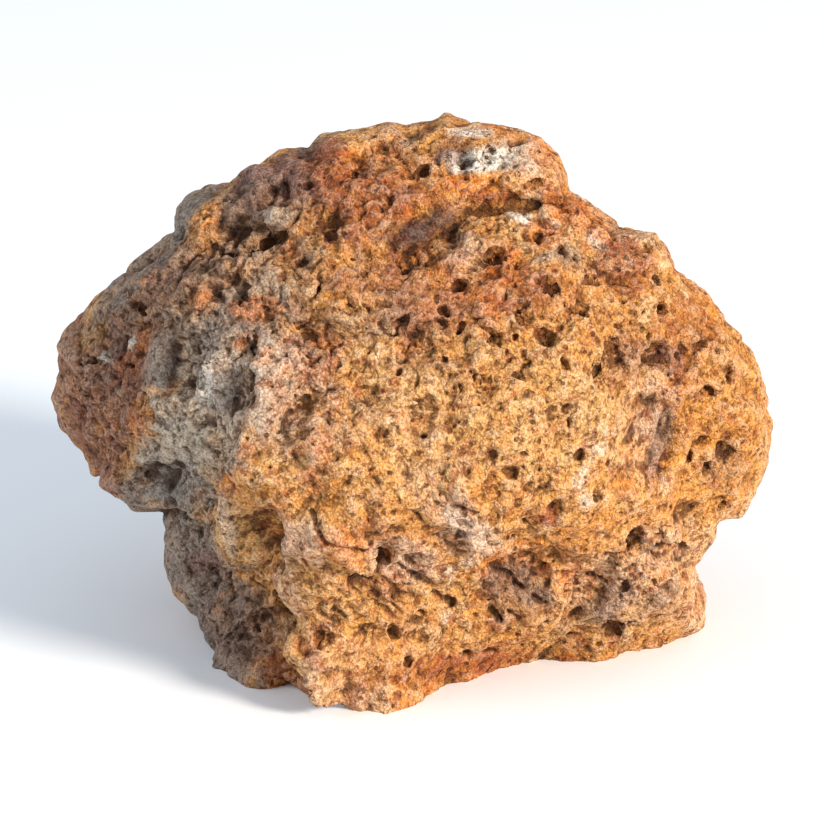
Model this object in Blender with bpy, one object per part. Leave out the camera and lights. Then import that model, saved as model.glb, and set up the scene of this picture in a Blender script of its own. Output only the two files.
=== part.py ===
"""A tufa rock: one natural, pitted, orange-brown boulder about 300 mm wide.

The stone is one solid. It starts as a boulder of worn flat faces, drawn in until its outline is the one
seen from the front. Ledges, hollows, cracks and pits are then sunk into it, lumps are left standing, and
the underside is cut flat where it rests.

Across is +X, depth is +Y away from the front, up is +Z. The origin is on the ground, under the middle.
Lengths are in millimetres until the mesh is made.
"""

import math

import bmesh
import bpy
import numpy as np
from mathutils import Matrix, Vector

METRES = 0.001

# How the front view is seen: from this far away, looking down on the stone by this much.
VIEW_TILT = math.radians(20)
VIEW_DISTANCE = 1600.0
MIDDLE_HEIGHT = 98.0

# The sphere that the stone is drawn from, how many triangles it keeps before its foot is cut off, and how
# far two of them turn from one another before the edge between them counts as sharp.
SPHERE_DIVISIONS = 7
KEPT_TRIANGLES = 10500
CREASE_ANGLE = math.radians(34)

# The boulder's worn faces: direction round the stone from the front, slope above level, and distance
# from the stone's middle. Positive directions are to the right.
FACES = [
    (-45, 2, 111),
    (-3, 4, 104),
    (37, 0, 99),
    (0, 30, 97),
    (6, 53, 104),
    (-55, 36, 119),
    (42, 40, 116),
    (14, -21, 91),
    (-52, -18, 99),
    (-90, 0, 152),
    (-80, -26, 131),
    (-109, 42, 128),
    (-126, 58, 124),
    (180, 70, 124),
    (112, 46, 121),
    (95, 14, 148),
    (92, -12, 151),
    (83, -19, 147),
    (-76, -34, 127),
    (180, 12, 113),
    (142, 2, 121),
    (-142, 6, 122),
    (158, 44, 117),
    (-152, 38, 120),
    (-178, -26, 112),
    (122, -28, 124),
    (-126, -30, 114),
    (0, -90, 128),
]
FACE_CRISPNESS = 16.0

# The outline from the front, clockwise from the far left: across and up from the stone's middle.
FRONT_OUTLINE = [
    (-150, 6), (-147, 17), (-148, 27), (-146, 34), (-138, 42), (-121, 58), (-106, 71), (-100, 76),
    (-98, 85), (-94, 90), (-86, 95), (-76, 97), (-69, 102), (-62, 105), (-55, 110), (-44, 111),
    (-38, 116), (-22, 118), (-10, 121), (-3, 120), (8, 122), (14, 125), (20, 123), (26, 121),
    (45, 118), (53, 115), (60, 109), (64, 102), (66, 93), (76, 86), (87, 78), (101, 75),
    (106, 69), (110, 60), (121, 52), (131, 39), (137, 33), (145, 18), (148, 6), (150, -4),
    (148, -20), (142, -36), (137, -44), (129, -47), (122, -58), (119, -65), (122, -72), (123, -82),
    (121, -91), (112, -98),
]
LEFT_OUTLINE = [
    (-84, -108), (-84, -99), (-90, -85), (-99, -75), (-103, -63), (-103, -48), (-105, -42),
    (-116, -41), (-126, -34), (-131, -30), (-137, -17), (-146, -7),
]
# The stone is drawn to the outline twice: roughly before the weathering, then closely at the very rim.
# Each time has the share of the way out where it starts, and the turn over which the outline is evened.
ROUGH_OUTLINE = (0.60, 0.14)
CLOSE_OUTLINE = (0.84, 0.0)
OUTLINE_FULL = 0.97
OUTLINE_DEPTH = 70.0
OUTLINE_END_FADE = 0.12

# Where the stone meets the ground, anticlockwise from the front corner, seen from above.
GROUND_OUTLINE = [
    (-11, -85), (0, -76), (7, -67), (14, -56), (27, -49), (36, -39), (52, -30), (76, -33),
    (90, -21), (107, -16), (119, -5), (122, 14), (110, 52), (74, 82), (25, 92), (-28, 88),
    (-70, 68), (-88, 32), (-87, -4), (-83, -28), (-75, -47), (-68, -58), (-62, -61), (-50, -55),
    (-38, -65), (-30, -64), (-20, -80),
]
GROUND_REACH = 38.0
GROUND_BAND = 4.0

# Ledges: the line they follow from left to right, how far the stone below stands back, and how far
# down that lasts.
LEDGES = {
    "waist_right": ([(2, -77), (17, -68), (30, -62), (46, -59), (60, -58), (73, -61), (90, -60),
                     (104, -52), (121, -58)], 9.0, 46.0),
    "under_left_lobe": ([(-150, -34), (-118, -36), (-100, -40), (-84, -44)], 12.0, 50.0),
    "under_knob": ([(-4, 72), (8, 80), (22, 88), (38, 91), (52, 92), (68, 92)], 7.5, 20.0),
    "shoulder": ([(74, 66), (86, 60), (98, 62), (112, 58)], 4.0, 22.0),
    "upper_left": ([(-96, 62), (-84, 71), (-72, 70), (-60, 79), (-48, 76)], 6.0, 20.0),
    "middle": ([(-52, 40), (-38, 44), (-24, 38), (-8, 36), (6, 42)], 4.5, 18.0),
}
LEDGE_LIP = 2.6
LEDGE_END = 8.0
# The lip of a ledge swells forward over this height, by this share of its step.
LIP_SWELL = 5.0
LIP_SHARE = 0.3

# The front block at lower left stands proud of what lies to its left.
BLOCK_EDGE = [(-34, -40), (-44, -50), (-56, -61), (-61, -67), (-57, -76), (-51, -87), (-49, -96),
              (-40, -104), (-30, -113), (-16, -126)]
BLOCK_STEP = 10.0
BLOCK_LIP = 6.0
BLOCK_FADE = 46.0
BLOCK_TOP = -36.0

# Hollows: across, up, half length, half width, tilt of the length, depth. A place on the front reaches
# inward this many times its larger half size.
PLACE_REACH = 1.6
HOLLOWS = {
    "dark_trough": (8, 77, 20, 8.5, 36, 13.0),
    "trough_tail": (40, 91, 22, 2.6, 2, 3.5),
    "upper_left_cave": (-72, 77, 11, 8, 20, 11.0),
    "upper_left_bowl": (-57, 93, 9, 6.5, 25, 7.0),
    "left_pocket": (-79, 54, 8, 7, 70, 8.0),
    "left_slot": (-116, 45, 4.5, 2.6, -20, 4.0),
    "slope_groove": (-103, 66, 16, 3.2, 48, 3.5),
    "lobe_scoop": (-102, 19, 14, 10, 75, 7.0),
    "inner_scoop": (-79, 8, 12, 9, 80, 8.0),
    "lower_scoop": (-104, -25, 18, 12, 60, 6.0),
    "grey_facet": (-52, -3, 11, 7, 60, 4.5),
    "ring_scoop": (-45, 27, 6, 4.5, 0, 3.0),
    "middle_cave": (-9, 41, 6, 3.8, 20, 7.5),
    "middle_pocket": (-27, 46, 4.2, 3.4, 0, 5.0),
    "upright_slot": (-39, 54, 5.5, 2.8, 80, 5.0),
    "upper_shade": (-32, 82, 6, 4.5, 30, 3.2),
    "right_scar": (98, -8, 22, 13, 86, 8.0),
    "scar_wall": (108, -13, 11, 3.6, 70, 6.0),
    "right_cup": (105, 24, 6.4, 6.0, 0, 6.0),
    "right_cup_beside": (88, 25, 7, 5.6, 60, 4.5),
    "striped_hollow": (47, -72, 15, 10, -40, 6.5),
    "foot_hollow": (80, -83, 10, 7, 35, 6.5),
    "nose_bowl": (-60, -52, 14, 9, 72, 13.0),
    "under_block": (-58, -83, 13, 9, -60, 6.0),
    "brown_recess": (-92, -73, 8, 6, 20, 4.0),
    "crack_hole": (-11.5, -63, 6.2, 3.6, 75, 9.0),
    "centre_dip": (5, 1, 11, 6, 70, 3.4),
    "side_hole": (94, -54, 6.0, 3.4, 65, 6.5),
    "side_slit": (86, -63, 3.6, 2.2, -10, 4.5),
}

# Lumps that stand out, in the same terms.
LUMPS = {
    "knob": (30, 106, 32, 14, 0, 4.0),
    "white_nodule": (-60, 83, 7, 4.5, 10, 3.0),
    "nose": (-72, -50, 17, 6, 88, 4.0),
    "crystal_rope": (24, -49, 18, 5, -45, 3.5),
    "block_brow": (-28, -58, 20, 9, -25, 3.0),
    "left_lobe_boss": (-133, 4, 20, 14, 80, 3.5),
    "upper_rib": (-64, 70, 20, 5, 25, 3.0),
    "middle_rib": (-32, 47, 12, 5, 20, 3.5),
    "right_swell": (122, 8, 30, 22, 80, 3.0),
    "foot_swell": (112, -70, 22, 10, 85, 2.5),
    "red_lump": (-68, -87, 8, 5, -20, 3.0),
    "cheek": (-52, 14, 16, 9, 60, 3.0),
}

# Cracks: their course, half width and depth.
CRACKS = {
    "main": ([(-39, -14), (-41, -30), (-41, -42), (-35, -49), (-22, -53), (-13, -59)], 1.9, 4.0),
    "below_hole": ([(-11, -70), (-5, -76), (8, -79), (18, -84)], 1.7, 3.0),
    "slab_edge": ([(-26, -2), (-18, -18), (-12, -36)], 2.0, 3.0),
    "waist_line": ([(18, -67), (31, -63), (46, -60), (60, -58), (73, -61)], 2.0, 3.0),
}

# Larger pits of the front: across, up, half length, half width, tilt, depth.
PITS = [
    (65, 69, 3.4, 2.2, 80, 3.6), (53, 76, 3.0, 1.8, 110, 3.0), (51, 91.5, 3.6, 1.8, 10, 3.2),
    (38, 66, 3.2, 2.8, 110, 3.0), (18, 56, 3.0, 2.5, 0, 3.4), (13, 45.5, 2.4, 2.2, 0, 3.6),
    (48, 44, 4.4, 2.8, 115, 3.4), (61, 53, 3.6, 2.2, 115, 3.0), (72, 45, 3.4, 2.4, 10, 3.4),
    (107, 44, 2.8, 2.0, 110, 3.4), (33, 35, 4.6, 2.8, -30, 3.2), (59, 33, 4.8, 3.0, -35, 3.8),
    (46, 17, 3.8, 2.0, 45, 2.6), (66, 22, 3.0, 2.2, 110, 2.8), (80, 18, 2.6, 2.2, 40, 3.0),
    (122, 36, 2.6, 2.0, -20, 3.0), (122, 25, 3.2, 1.8, 30, 3.0), (135, 17, 4.0, 2.0, 98, 3.4),
    (124, 6, 3.6, 2.6, -20, 3.6), (61, -42, 3.6, 3.2, 100, 2.8), (105, -53, 3.6, 1.8, 65, 3.2),
    (109, -75, 4.6, 2.8, 35, 3.6), (35, -86, 3.8, 2.4, 130, 3.4), (-37, -92, 3.4, 3.0, 90, 3.4),
    (-31, -92, 2.8, 2.0, 60, 3.2), (-6, -94, 3.6, 2.2, 110, 3.4), (20, 109, 4.2, 3.6, 80, 3.4),
    (35, 109, 3.4, 3.0, 0, 3.2), (44, 116, 4.2, 2.0, 20, 3.0), (103, -93, 3.4, 2.6, 90, 3.2),
]

# The weathered surface all round. Swellings, knuckles and sharp ridges have a spacing and a height.
# Scattered holes have a spacing, a radius, a depth and the share of places that has one.
SWELLINGS = [(62.0, 5.0), (24.0, 2.0)]
KNUCKLES = [(34.0, 7.0), (17.0, 3.6)]
SHARP_RIDGES = [(40.0, 6.0), (19.0, 3.6), (10.0, 1.6)]
SCATTERED_HOLES = [(22.0, 5.6, 4.6, 0.60), (13.0, 3.4, 2.8, 0.60)]
# The front has its own pits, so the scattered ones are shallower there by this share.
FRONT_CALM = 0.6
FRONT_FADE = 25.0
# How far hollows, lumps, pits and cracks spread past their half sizes, so that their rims are worn.
HOLLOW_SPREAD = 1.25
LUMP_SPREAD = 1.3
PIT_SPREAD = 1.3
PIT_DEPTH = 1.4
CRACK_SPREAD = 1.6
# The edges of all forms wander by this much, over this distance.
WANDER = 1.6
WANDER_SPACING = 9.0
# The weathering is bent by this much, over this distance, so that it shows no regular pattern.
BEND = 4.0
BEND_SPACING = 16.0
HASHES = (73856093, 19349663, 83492791)
TABLE_SIZE = 1 << 14


def front_axes():
    """Across, up and towards the viewer, as the front view has them."""
    s = math.sin(VIEW_TILT)
    c = math.cos(VIEW_TILT)
    return np.array([(1, 0, 0), (0, s, c), (0, -c, s)], float)


def smooth(t):
    """0 below 0, 1 above 1, and an even slope between that starts and ends level."""
    t = np.clip(t, 0, 1)
    return t * t * (3 - 2 * t)


def boulder_radius(directions):
    """Distance from the middle to the worn faces, with their edges rounded over."""
    total = np.zeros(len(directions))
    for turn, slope, distance in FACES:
        turn = math.radians(turn)
        slope = math.radians(slope)
        normal = np.array([
            math.sin(turn) * math.cos(slope),
            -math.cos(turn) * math.cos(slope),
            math.sin(slope),
        ])
        total += np.clip(directions @ normal / distance, 0, None) ** FACE_CRISPNESS
    return total ** (-1 / FACE_CRISPNESS)


def lattice(cells, seed):
    """A repeatable random number for each whole-numbered cell."""
    mixed = seed * 2654435761
    for axis, factor in enumerate(HASHES):
        mixed = mixed ^ (cells[..., axis] * factor)
    return np.random.default_rng(seed).random(TABLE_SIZE)[mixed & (TABLE_SIZE - 1)]


def waves(points, spacing, seed):
    """Smooth noise from -1 to 1 with about this spacing between its lumps."""
    at = points / spacing
    low = np.floor(at).astype(np.int64)
    blend = smooth(at - low)
    total = np.zeros(len(points))
    for corner in np.ndindex(2, 2, 2):
        share = np.ones(len(points))
        for axis in range(3):
            share *= blend[:, axis] if corner[axis] else 1 - blend[:, axis]
        total += share * lattice(low + np.array(corner), seed)
    return 2 * total - 1


def nearest_centre(points, spacing, seed):
    """Distance to the nearest of many scattered centres, and a number from 0 to 1 that goes with it."""
    at = points / spacing
    low = np.floor(at).astype(np.int64)
    nearest = np.full(len(points), np.inf)
    number = np.zeros(len(points))
    for offset in np.ndindex(3, 3, 3):
        cell = low + np.array(offset) - 1
        centre = cell + np.stack([lattice(cell, seed + axis) for axis in range(3)], axis=1)
        away = np.linalg.norm(at - centre, axis=1)
        closer = away < nearest
        nearest = np.where(closer, away, nearest)
        number = np.where(closer, lattice(cell, seed + 3), number)
    return nearest * spacing, number


def seen(points):
    """Across and up as the front view shows them, and nearness to the viewer."""
    local = points @ front_axes().T
    scale = VIEW_DISTANCE / (VIEW_DISTANCE - local[:, 2])
    return local[:, 0] * scale, local[:, 1] * scale, local[:, 2]


def on_surface(points, across, up):
    """The point of the front that is seen at this place."""
    u, v, near = seen(points)
    off = np.hypot(u - across, v - up)
    close = off < off[near > 0].min() + 3.0
    return points[np.argmax(np.where(close, near, -1e9))]


def spot(points, across, up, length, width, tilt):
    """1 at the middle of a place on the front, falling to 0 round its rim."""
    axes = front_axes()
    tilt = math.radians(tilt)
    away = points - on_surface(points, across, up)
    along = away @ (math.cos(tilt) * axes[0] + math.sin(tilt) * axes[1]) / length
    aside = away @ (math.cos(tilt) * axes[1] - math.sin(tilt) * axes[0]) / width
    inward = away @ axes[2] / (PLACE_REACH * max(length, width))
    return np.clip(1 - np.sqrt(along**2 + aside**2 + inward**2), 0, 1)


def above_line(u, v, line):
    """Height above a line that runs from left to right, and whether the place is between its ends."""
    xs, ys = np.array(line, float).T
    between = smooth((u - xs[0]) / LEDGE_END + 0.5) * smooth((xs[-1] - u) / LEDGE_END + 0.5)
    return v - np.interp(u, xs, ys), between


def distance_to_line(u, v, line):
    """Distance to a course of straight runs, and the side of it: positive to its left."""
    nearest = np.full(len(u), 1e9)
    side = np.zeros(len(u))
    for (x0, y0), (x1, y1) in zip(line[:-1], line[1:]):
        dx, dy = x1 - x0, y1 - y0
        t = np.clip(((u - x0) * dx + (v - y0) * dy) / (dx * dx + dy * dy), 0, 1)
        away = np.hypot(u - x0 - t * dx, v - y0 - t * dy)
        closer = away < nearest
        nearest = np.where(closer, away, nearest)
        side = np.where(closer, np.sign(dx * (v - y0) - dy * (u - x0)), side)
    return nearest, side


def front_relief(points):
    """What the front's ledges, hollows, lumps, cracks and pits add to the surface."""
    u, v, near = seen(points)
    front = smooth(near / FRONT_FADE + 0.4)
    wander = WANDER * waves(points, WANDER_SPACING, 71)
    relief = np.zeros(len(points))
    for line, step, reach in LEDGES.values():
        height, between = above_line(u, v + wander, line)
        below = smooth(-height / LEDGE_LIP) * smooth(1 + height / reach)
        relief -= front * between * step * below
        relief += front * between * LIP_SHARE * step * np.exp(-((height / LIP_SWELL - 0.6) ** 2))
    away, side = distance_to_line(u, v + wander, BLOCK_EDGE)
    left = smooth(0.5 - side * away / BLOCK_LIP) * smooth(1 - away / BLOCK_FADE)
    relief -= front * BLOCK_STEP * left * smooth((BLOCK_TOP - v) / 12)
    for across, up, length, width, tilt, depth in HOLLOWS.values():
        place = spot(points, across, up, length * HOLLOW_SPREAD, width * HOLLOW_SPREAD, tilt)
        relief -= depth * smooth(1.5 * place)
    for across, up, length, width, tilt, height in LUMPS.values():
        place = spot(points, across, up, length * LUMP_SPREAD, width * LUMP_SPREAD, tilt)
        relief += height * smooth(place)
    for across, up, length, width, tilt, depth in PITS:
        place = spot(points, across, up, length * PIT_SPREAD, width * PIT_SPREAD, tilt)
        relief -= PIT_DEPTH * depth * smooth(2 * place)
    for line, half_width, depth in CRACKS.values():
        away, _ = distance_to_line(u, v + 0.5 * wander, line)
        relief -= front * depth * smooth(1 - away / (CRACK_SPREAD * half_width))
    return relief


def weathered(points):
    """The rough surface all round: swellings, knuckles, sharp ridges and scattered holes."""
    bent = points + BEND * np.stack([waves(points, BEND_SPACING, 31 + axis) for axis in range(3)], axis=1)
    relief = np.zeros(len(points))
    for number, (spacing, height) in enumerate(SWELLINGS):
        relief += height * waves(points, spacing, 11 + number)
    for number, (spacing, height) in enumerate(KNUCKLES):
        away, _ = nearest_centre(bent, spacing, 41 + 10 * number)
        relief += height * (0.35 - (away / spacing) ** 2)
    for number, (spacing, height) in enumerate(SHARP_RIDGES):
        relief += height * (0.3 - np.abs(waves(bent, spacing, 81 + number)))
    near = seen(points)[2]
    calm = 1 - FRONT_CALM * smooth(near / FRONT_FADE + 0.4)
    for number, (spacing, radius, depth, share) in enumerate(SCATTERED_HOLES):
        away, chance = nearest_centre(bent, spacing, 101 + 10 * number)
        size = radius * (0.6 + 0.5 * chance / share)
        relief -= calm * (chance < share) * depth * smooth(1.4 * (1 - away / size))
    return relief


def radius_at(angles, outline):
    """An outline's distance from its middle at these angles, which may wrap round."""
    xs, ys = np.array(outline, float).T
    turns = np.arctan2(ys, xs)
    order = np.argsort(turns)
    turns, reach = turns[order], np.hypot(xs, ys)[order]
    turns = np.concatenate([turns - 2 * math.pi, turns, turns + 2 * math.pi])
    return np.interp(angles, turns, np.tile(reach, 3))


def widest(angles, reach, bins=150):
    """The farthest reach found at each angle, smoothed a little, as a function of angle."""
    place = ((angles + math.pi) / (2 * math.pi) * bins).astype(int) % bins
    most = np.zeros(bins)
    np.maximum.at(most, place, reach)
    most = (np.roll(most, 1) + 2 * most + np.roll(most, -1)) / 4
    middles = (np.arange(-1, bins + 1) + 0.5) / bins * 2 * math.pi - math.pi
    return np.interp(angles, middles, np.concatenate([most[-1:], most, most[:1]]))


def drawn_to_outline(points, starts, evened):
    """The stone with its rim, as the front view has it, moved in or out to the outline."""
    u, v, near = seen(points)
    angles = np.arctan2(v, u)
    reach = np.hypot(u, v)
    rim = widest(angles, reach)
    turns = (-evened, 0, evened)
    wanted = np.mean([radius_at(angles + turn, FRONT_OUTLINE + LEFT_OUTLINE) for turn in turns], axis=0)
    ends = [math.atan2(y, x) for x, y in (FRONT_OUTLINE[-1], LEFT_OUTLINE[0])]
    under = smooth((ends[0] - angles) / OUTLINE_END_FADE) * smooth((angles - ends[1]) / OUTLINE_END_FADE)
    outermost = smooth((reach / rim - starts) / (OUTLINE_FULL - starts))
    share = (1 - under) * outermost * smooth(1.6 + near / OUTLINE_DEPTH)
    scale = (1 + (wanted / rim - 1) * share)[:, None]
    local = points @ front_axes().T
    local[:, :2] *= scale
    return local @ front_axes()


def mean_reach(angles, reach, bins=72):
    """The mean reach at each angle, as a function that can be asked for any angle."""
    place = ((angles + math.pi) / (2 * math.pi) * bins).astype(int) % bins
    count = np.bincount(place, minlength=bins)
    mean = np.bincount(place, weights=reach, minlength=bins) / np.maximum(count, 1)
    known = np.flatnonzero(count)
    middles = (known + 0.5) / bins * 2 * math.pi - math.pi
    middles = np.concatenate([middles - 2 * math.pi, middles, middles + 2 * math.pi])
    return lambda asked: np.interp(asked, middles, np.tile(mean[known], 3))


def drawn_to_ground(points):
    """The stone's foot moved in or out so that it meets the ground along its outline."""
    height = points[:, 2] + MIDDLE_HEIGHT
    angles = np.arctan2(points[:, 1], points[:, 0])
    reach = np.hypot(points[:, 0], points[:, 1])
    at_ground = np.abs(height) < GROUND_BAND
    foot = mean_reach(angles[at_ground], reach[at_ground])(angles)
    share = smooth(1 - height / GROUND_REACH)
    scale = 1 + (radius_at(angles, GROUND_OUTLINE) / foot - 1) * share
    moved = points.copy()
    moved[:, :2] *= scale[:, None]
    return moved


def shaped(directions, normals_of):
    """Every point of the stone for these directions from its middle."""
    points = directions * boulder_radius(directions)[:, None]
    points = drawn_to_outline(points, *ROUGH_OUTLINE)
    outward = normals_of(points)
    points = points + outward * (weathered(points) + front_relief(points))[:, None]
    return drawn_to_outline(drawn_to_ground(points), *CLOSE_OUTLINE)


def rock_material():
    """Dull orange-brown stone."""
    material = bpy.data.materials.new("tufa")
    material.use_nodes = True
    shader = material.node_tree.nodes["Principled BSDF"]
    shader.inputs["Base Color"].default_value = (0.55, 0.30, 0.13, 1)
    shader.inputs["Roughness"].default_value = 0.95
    shader.inputs["Metallic"].default_value = 0.0
    return material


def make_rock():
    """The whole stone, with its foot still running on below the ground."""
    mesh = bpy.data.meshes.new("tufa_rock")
    sphere = bmesh.new()
    bmesh.ops.create_icosphere(sphere, subdivisions=SPHERE_DIVISIONS, radius=1.0)
    sphere.to_mesh(mesh)
    sphere.free()
    rock = bpy.data.objects.new("tufa_rock", mesh)
    bpy.context.scene.collection.objects.link(rock)
    rock.data.materials.append(rock_material())

    directions = np.empty(len(mesh.vertices) * 3, np.float32)
    mesh.vertices.foreach_get("co", directions)
    directions = directions.reshape(-1, 3).astype(float)
    directions /= np.linalg.norm(directions, axis=1)[:, None]

    def set_points(points):
        mesh.vertices.foreach_set("co", (points * METRES).astype(np.float32).ravel())
        mesh.update()

    def normals_of(points):
        set_points(points)
        normals = np.empty(len(mesh.vertices) * 3, np.float32)
        mesh.vertex_normals.foreach_get("vector", normals)
        return normals.reshape(-1, 3).astype(float)

    set_points(shaped(directions, normals_of) + np.array([0, 0, MIDDLE_HEIGHT]))
    return rock


def thin_out(rock):
    """Fewer triangles, most of them kept where the surface bends."""
    modifier = rock.modifiers.new("fewer_triangles", "DECIMATE")
    modifier.ratio = KEPT_TRIANGLES / len(rock.data.polygons)
    graph = bpy.context.evaluated_depsgraph_get()
    thinned = bpy.data.meshes.new_from_object(rock.evaluated_get(graph))
    rock.modifiers.clear()
    rock.data = thinned


def cut_flat_underneath(rock):
    """The resting face: everything below the ground is cut away and the cut is closed."""
    stone = bmesh.new()
    stone.from_mesh(rock.data)
    everything = stone.verts[:] + stone.edges[:] + stone.faces[:]
    cut = bmesh.ops.bisect_plane(
        stone, geom=everything, dist=1e-5, plane_co=(0, 0, 0), plane_no=(0, 0, 1), clear_inner=True
    )
    rim = [g for g in cut["geom_cut"] if isinstance(g, bmesh.types.BMEdge)]
    for edge in rim:
        for vertex in edge.verts:
            vertex.co.z = 0.0
    bmesh.ops.holes_fill(stone, edges=rim, sides=0)
    bmesh.ops.recalc_face_normals(stone, faces=stone.faces[:])
    stone.to_mesh(rock.data)
    stone.free()


def stand_over_origin(rock):
    """Across and in depth, the origin is under the middle of the stone."""
    corners = [Vector(corner) for corner in rock.bound_box]
    middle = sum(corners, Vector()) / len(corners)
    rock.data.transform(Matrix.Translation((-middle.x, -middle.y, 0)))


def main():
    for old in list(bpy.data.objects):
        bpy.data.objects.remove(old)
    rock = make_rock()
    thin_out(rock)
    cut_flat_underneath(rock)
    bpy.context.view_layer.update()
    stand_over_origin(rock)
    rock.data.shade_smooth()
    rock.data.set_sharp_from_angle(angle=CREASE_ANGLE)


main()
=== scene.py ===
import math

import bmesh
import bpy
import numpy as np
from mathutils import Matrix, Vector


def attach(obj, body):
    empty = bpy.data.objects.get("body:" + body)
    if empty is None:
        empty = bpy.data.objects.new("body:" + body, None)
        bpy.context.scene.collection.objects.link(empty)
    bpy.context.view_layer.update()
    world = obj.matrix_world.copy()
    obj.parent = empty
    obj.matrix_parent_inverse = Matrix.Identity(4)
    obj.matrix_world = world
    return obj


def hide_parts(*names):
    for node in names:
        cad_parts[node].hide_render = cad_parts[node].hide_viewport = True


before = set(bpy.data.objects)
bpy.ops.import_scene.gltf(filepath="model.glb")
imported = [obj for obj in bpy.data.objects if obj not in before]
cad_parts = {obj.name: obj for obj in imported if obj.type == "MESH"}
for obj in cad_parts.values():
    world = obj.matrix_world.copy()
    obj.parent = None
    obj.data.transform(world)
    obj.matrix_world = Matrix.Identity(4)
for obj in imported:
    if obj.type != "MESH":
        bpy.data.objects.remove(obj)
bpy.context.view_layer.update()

# The stone is drawn in millimetres round its own middle: across, away from the front, up.
# Places on its front are given as the front view shows them: across and up.

frontView = {
    "tilt": math.radians(20),           # looking down by this much
    "distance": 1600.0,
    "middleHeight": 98.0,               # the view's middle above the ground
    "boxMiddle": (-0.6, 5.89),          # the middle of the stone's box from the view's middle
    "picture": (824, 826),
    "millimetresPerPixel": 300 / 725,
    "sensor": 36,
}


def frontAxes():
    s, c = math.sin(frontView["tilt"]), math.cos(frontView["tilt"])
    return np.array([(1, 0, 0), (0, s, c), (0, -c, s)])


def seen(points):
    local = points @ frontAxes().T
    scale = frontView["distance"] / (frontView["distance"] - local[:, 2])
    return local[:, 0] * scale, local[:, 1] * scale, local[:, 2]


def boxFoot():
    # the ground under the middle of the stone's box, from the view's middle
    return np.array([*frontView["boxMiddle"], -frontView["middleHeight"]])


def smooth(t):
    t = np.clip(t, 0, 1)
    return t * t * (3 - 2 * t)


# Noise that comes out the same every time.

hashFactors = (73856093, 19349663, 83492791)
hashMix = 2654435761
tableSize = 1 << 14


def cellNumber(cells, seed):
    mixed = seed * hashMix
    for axis, factor in enumerate(hashFactors):
        mixed = mixed ^ (cells[..., axis] * factor)
    return np.random.default_rng(seed).random(tableSize)[mixed & (tableSize - 1)]


def waves(points, spacing, seed):
    at = points / spacing
    low = np.floor(at).astype(np.int64)
    blend = smooth(at - low)
    total = np.zeros(len(points))
    for corner in np.ndindex(2, 2, 2):
        share = np.ones(len(points))
        for axis in range(3):
            share *= blend[:, axis] if corner[axis] else 1 - blend[:, axis]
        total += share * cellNumber(low + np.array(corner), seed)
    return 2 * total - 1


def threeWaves(points, spacing, seed):
    return np.stack([waves(points, spacing, seed + axis) for axis in range(3)], axis=1)


def nearestCentre(points, spacing, seed, thorough=True):
    # thorough looks in all 27 cells round a point; otherwise it looks in the 8 nearest, and the
    # centres are kept towards the middles of their cells
    at = points / spacing
    start = np.floor(at).astype(np.int64) - 1 if thorough else np.floor(at - 0.5).astype(np.int64)
    inward = 1.0 if thorough else 0.7
    nearest = np.full(len(points), np.inf)
    cells = start.copy()
    offset = np.zeros_like(at)
    for step in np.ndindex(*(3, 3, 3) if thorough else (2, 2, 2)):
        cell = start + np.array(step)
        place = np.stack([cellNumber(cell, seed + axis) for axis in range(3)], axis=1)
        away = at - cell - (1 - inward) / 2 - inward * place
        distance = np.sqrt(np.einsum("ij,ij->i", away, away))
        closer = distance < nearest
        nearest[closer] = distance[closer]
        cells[closer] = cell[closer]
        offset[closer] = away[closer]
    return nearest * spacing, cellNumber(cells, seed + 3), cells, offset


def facets(points, spacing, seed):
    # broken faces that lie at odds with each other
    _, chance, cells, offset = nearestCentre(points, spacing, seed, thorough=False)
    lean = np.stack([cellNumber(cells, seed + 4 + axis) for axis in range(3)], axis=1) - 0.5
    return 2 * np.einsum("ij,ij->i", offset, lean) + 0.5 * (chance - 0.5)


# The boulder under the weathering.

boulder = {
    "icoLevel": 7,
    "evening": 12, "eveningAfterPits": 4,   # rounds of evening out the points
    "slide": 0.8,
    "keptTriangles": 224000,
    "crispness": 16.0,
    # worn faces: direction round from the front, slope, distance from the middle
    "faces": [
        (-45, 2, 111), (-3, 4, 104), (37, 0, 99), (0, 30, 97), (6, 53, 104), (-55, 36, 119),
        (42, 40, 116), (14, -21, 91), (-52, -18, 99), (-90, 0, 152), (-80, -26, 131),
        (-109, 42, 128), (-126, 58, 124), (180, 70, 124), (112, 46, 121), (95, 14, 148),
        (92, -12, 151), (83, -19, 147), (-76, -34, 127), (180, 12, 113), (142, 2, 121),
        (-142, 6, 122), (158, 44, 117), (-152, 38, 120), (-178, -26, 112), (122, -28, 124),
        (-126, -30, 114), (0, -90, 128),
    ],
}

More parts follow.
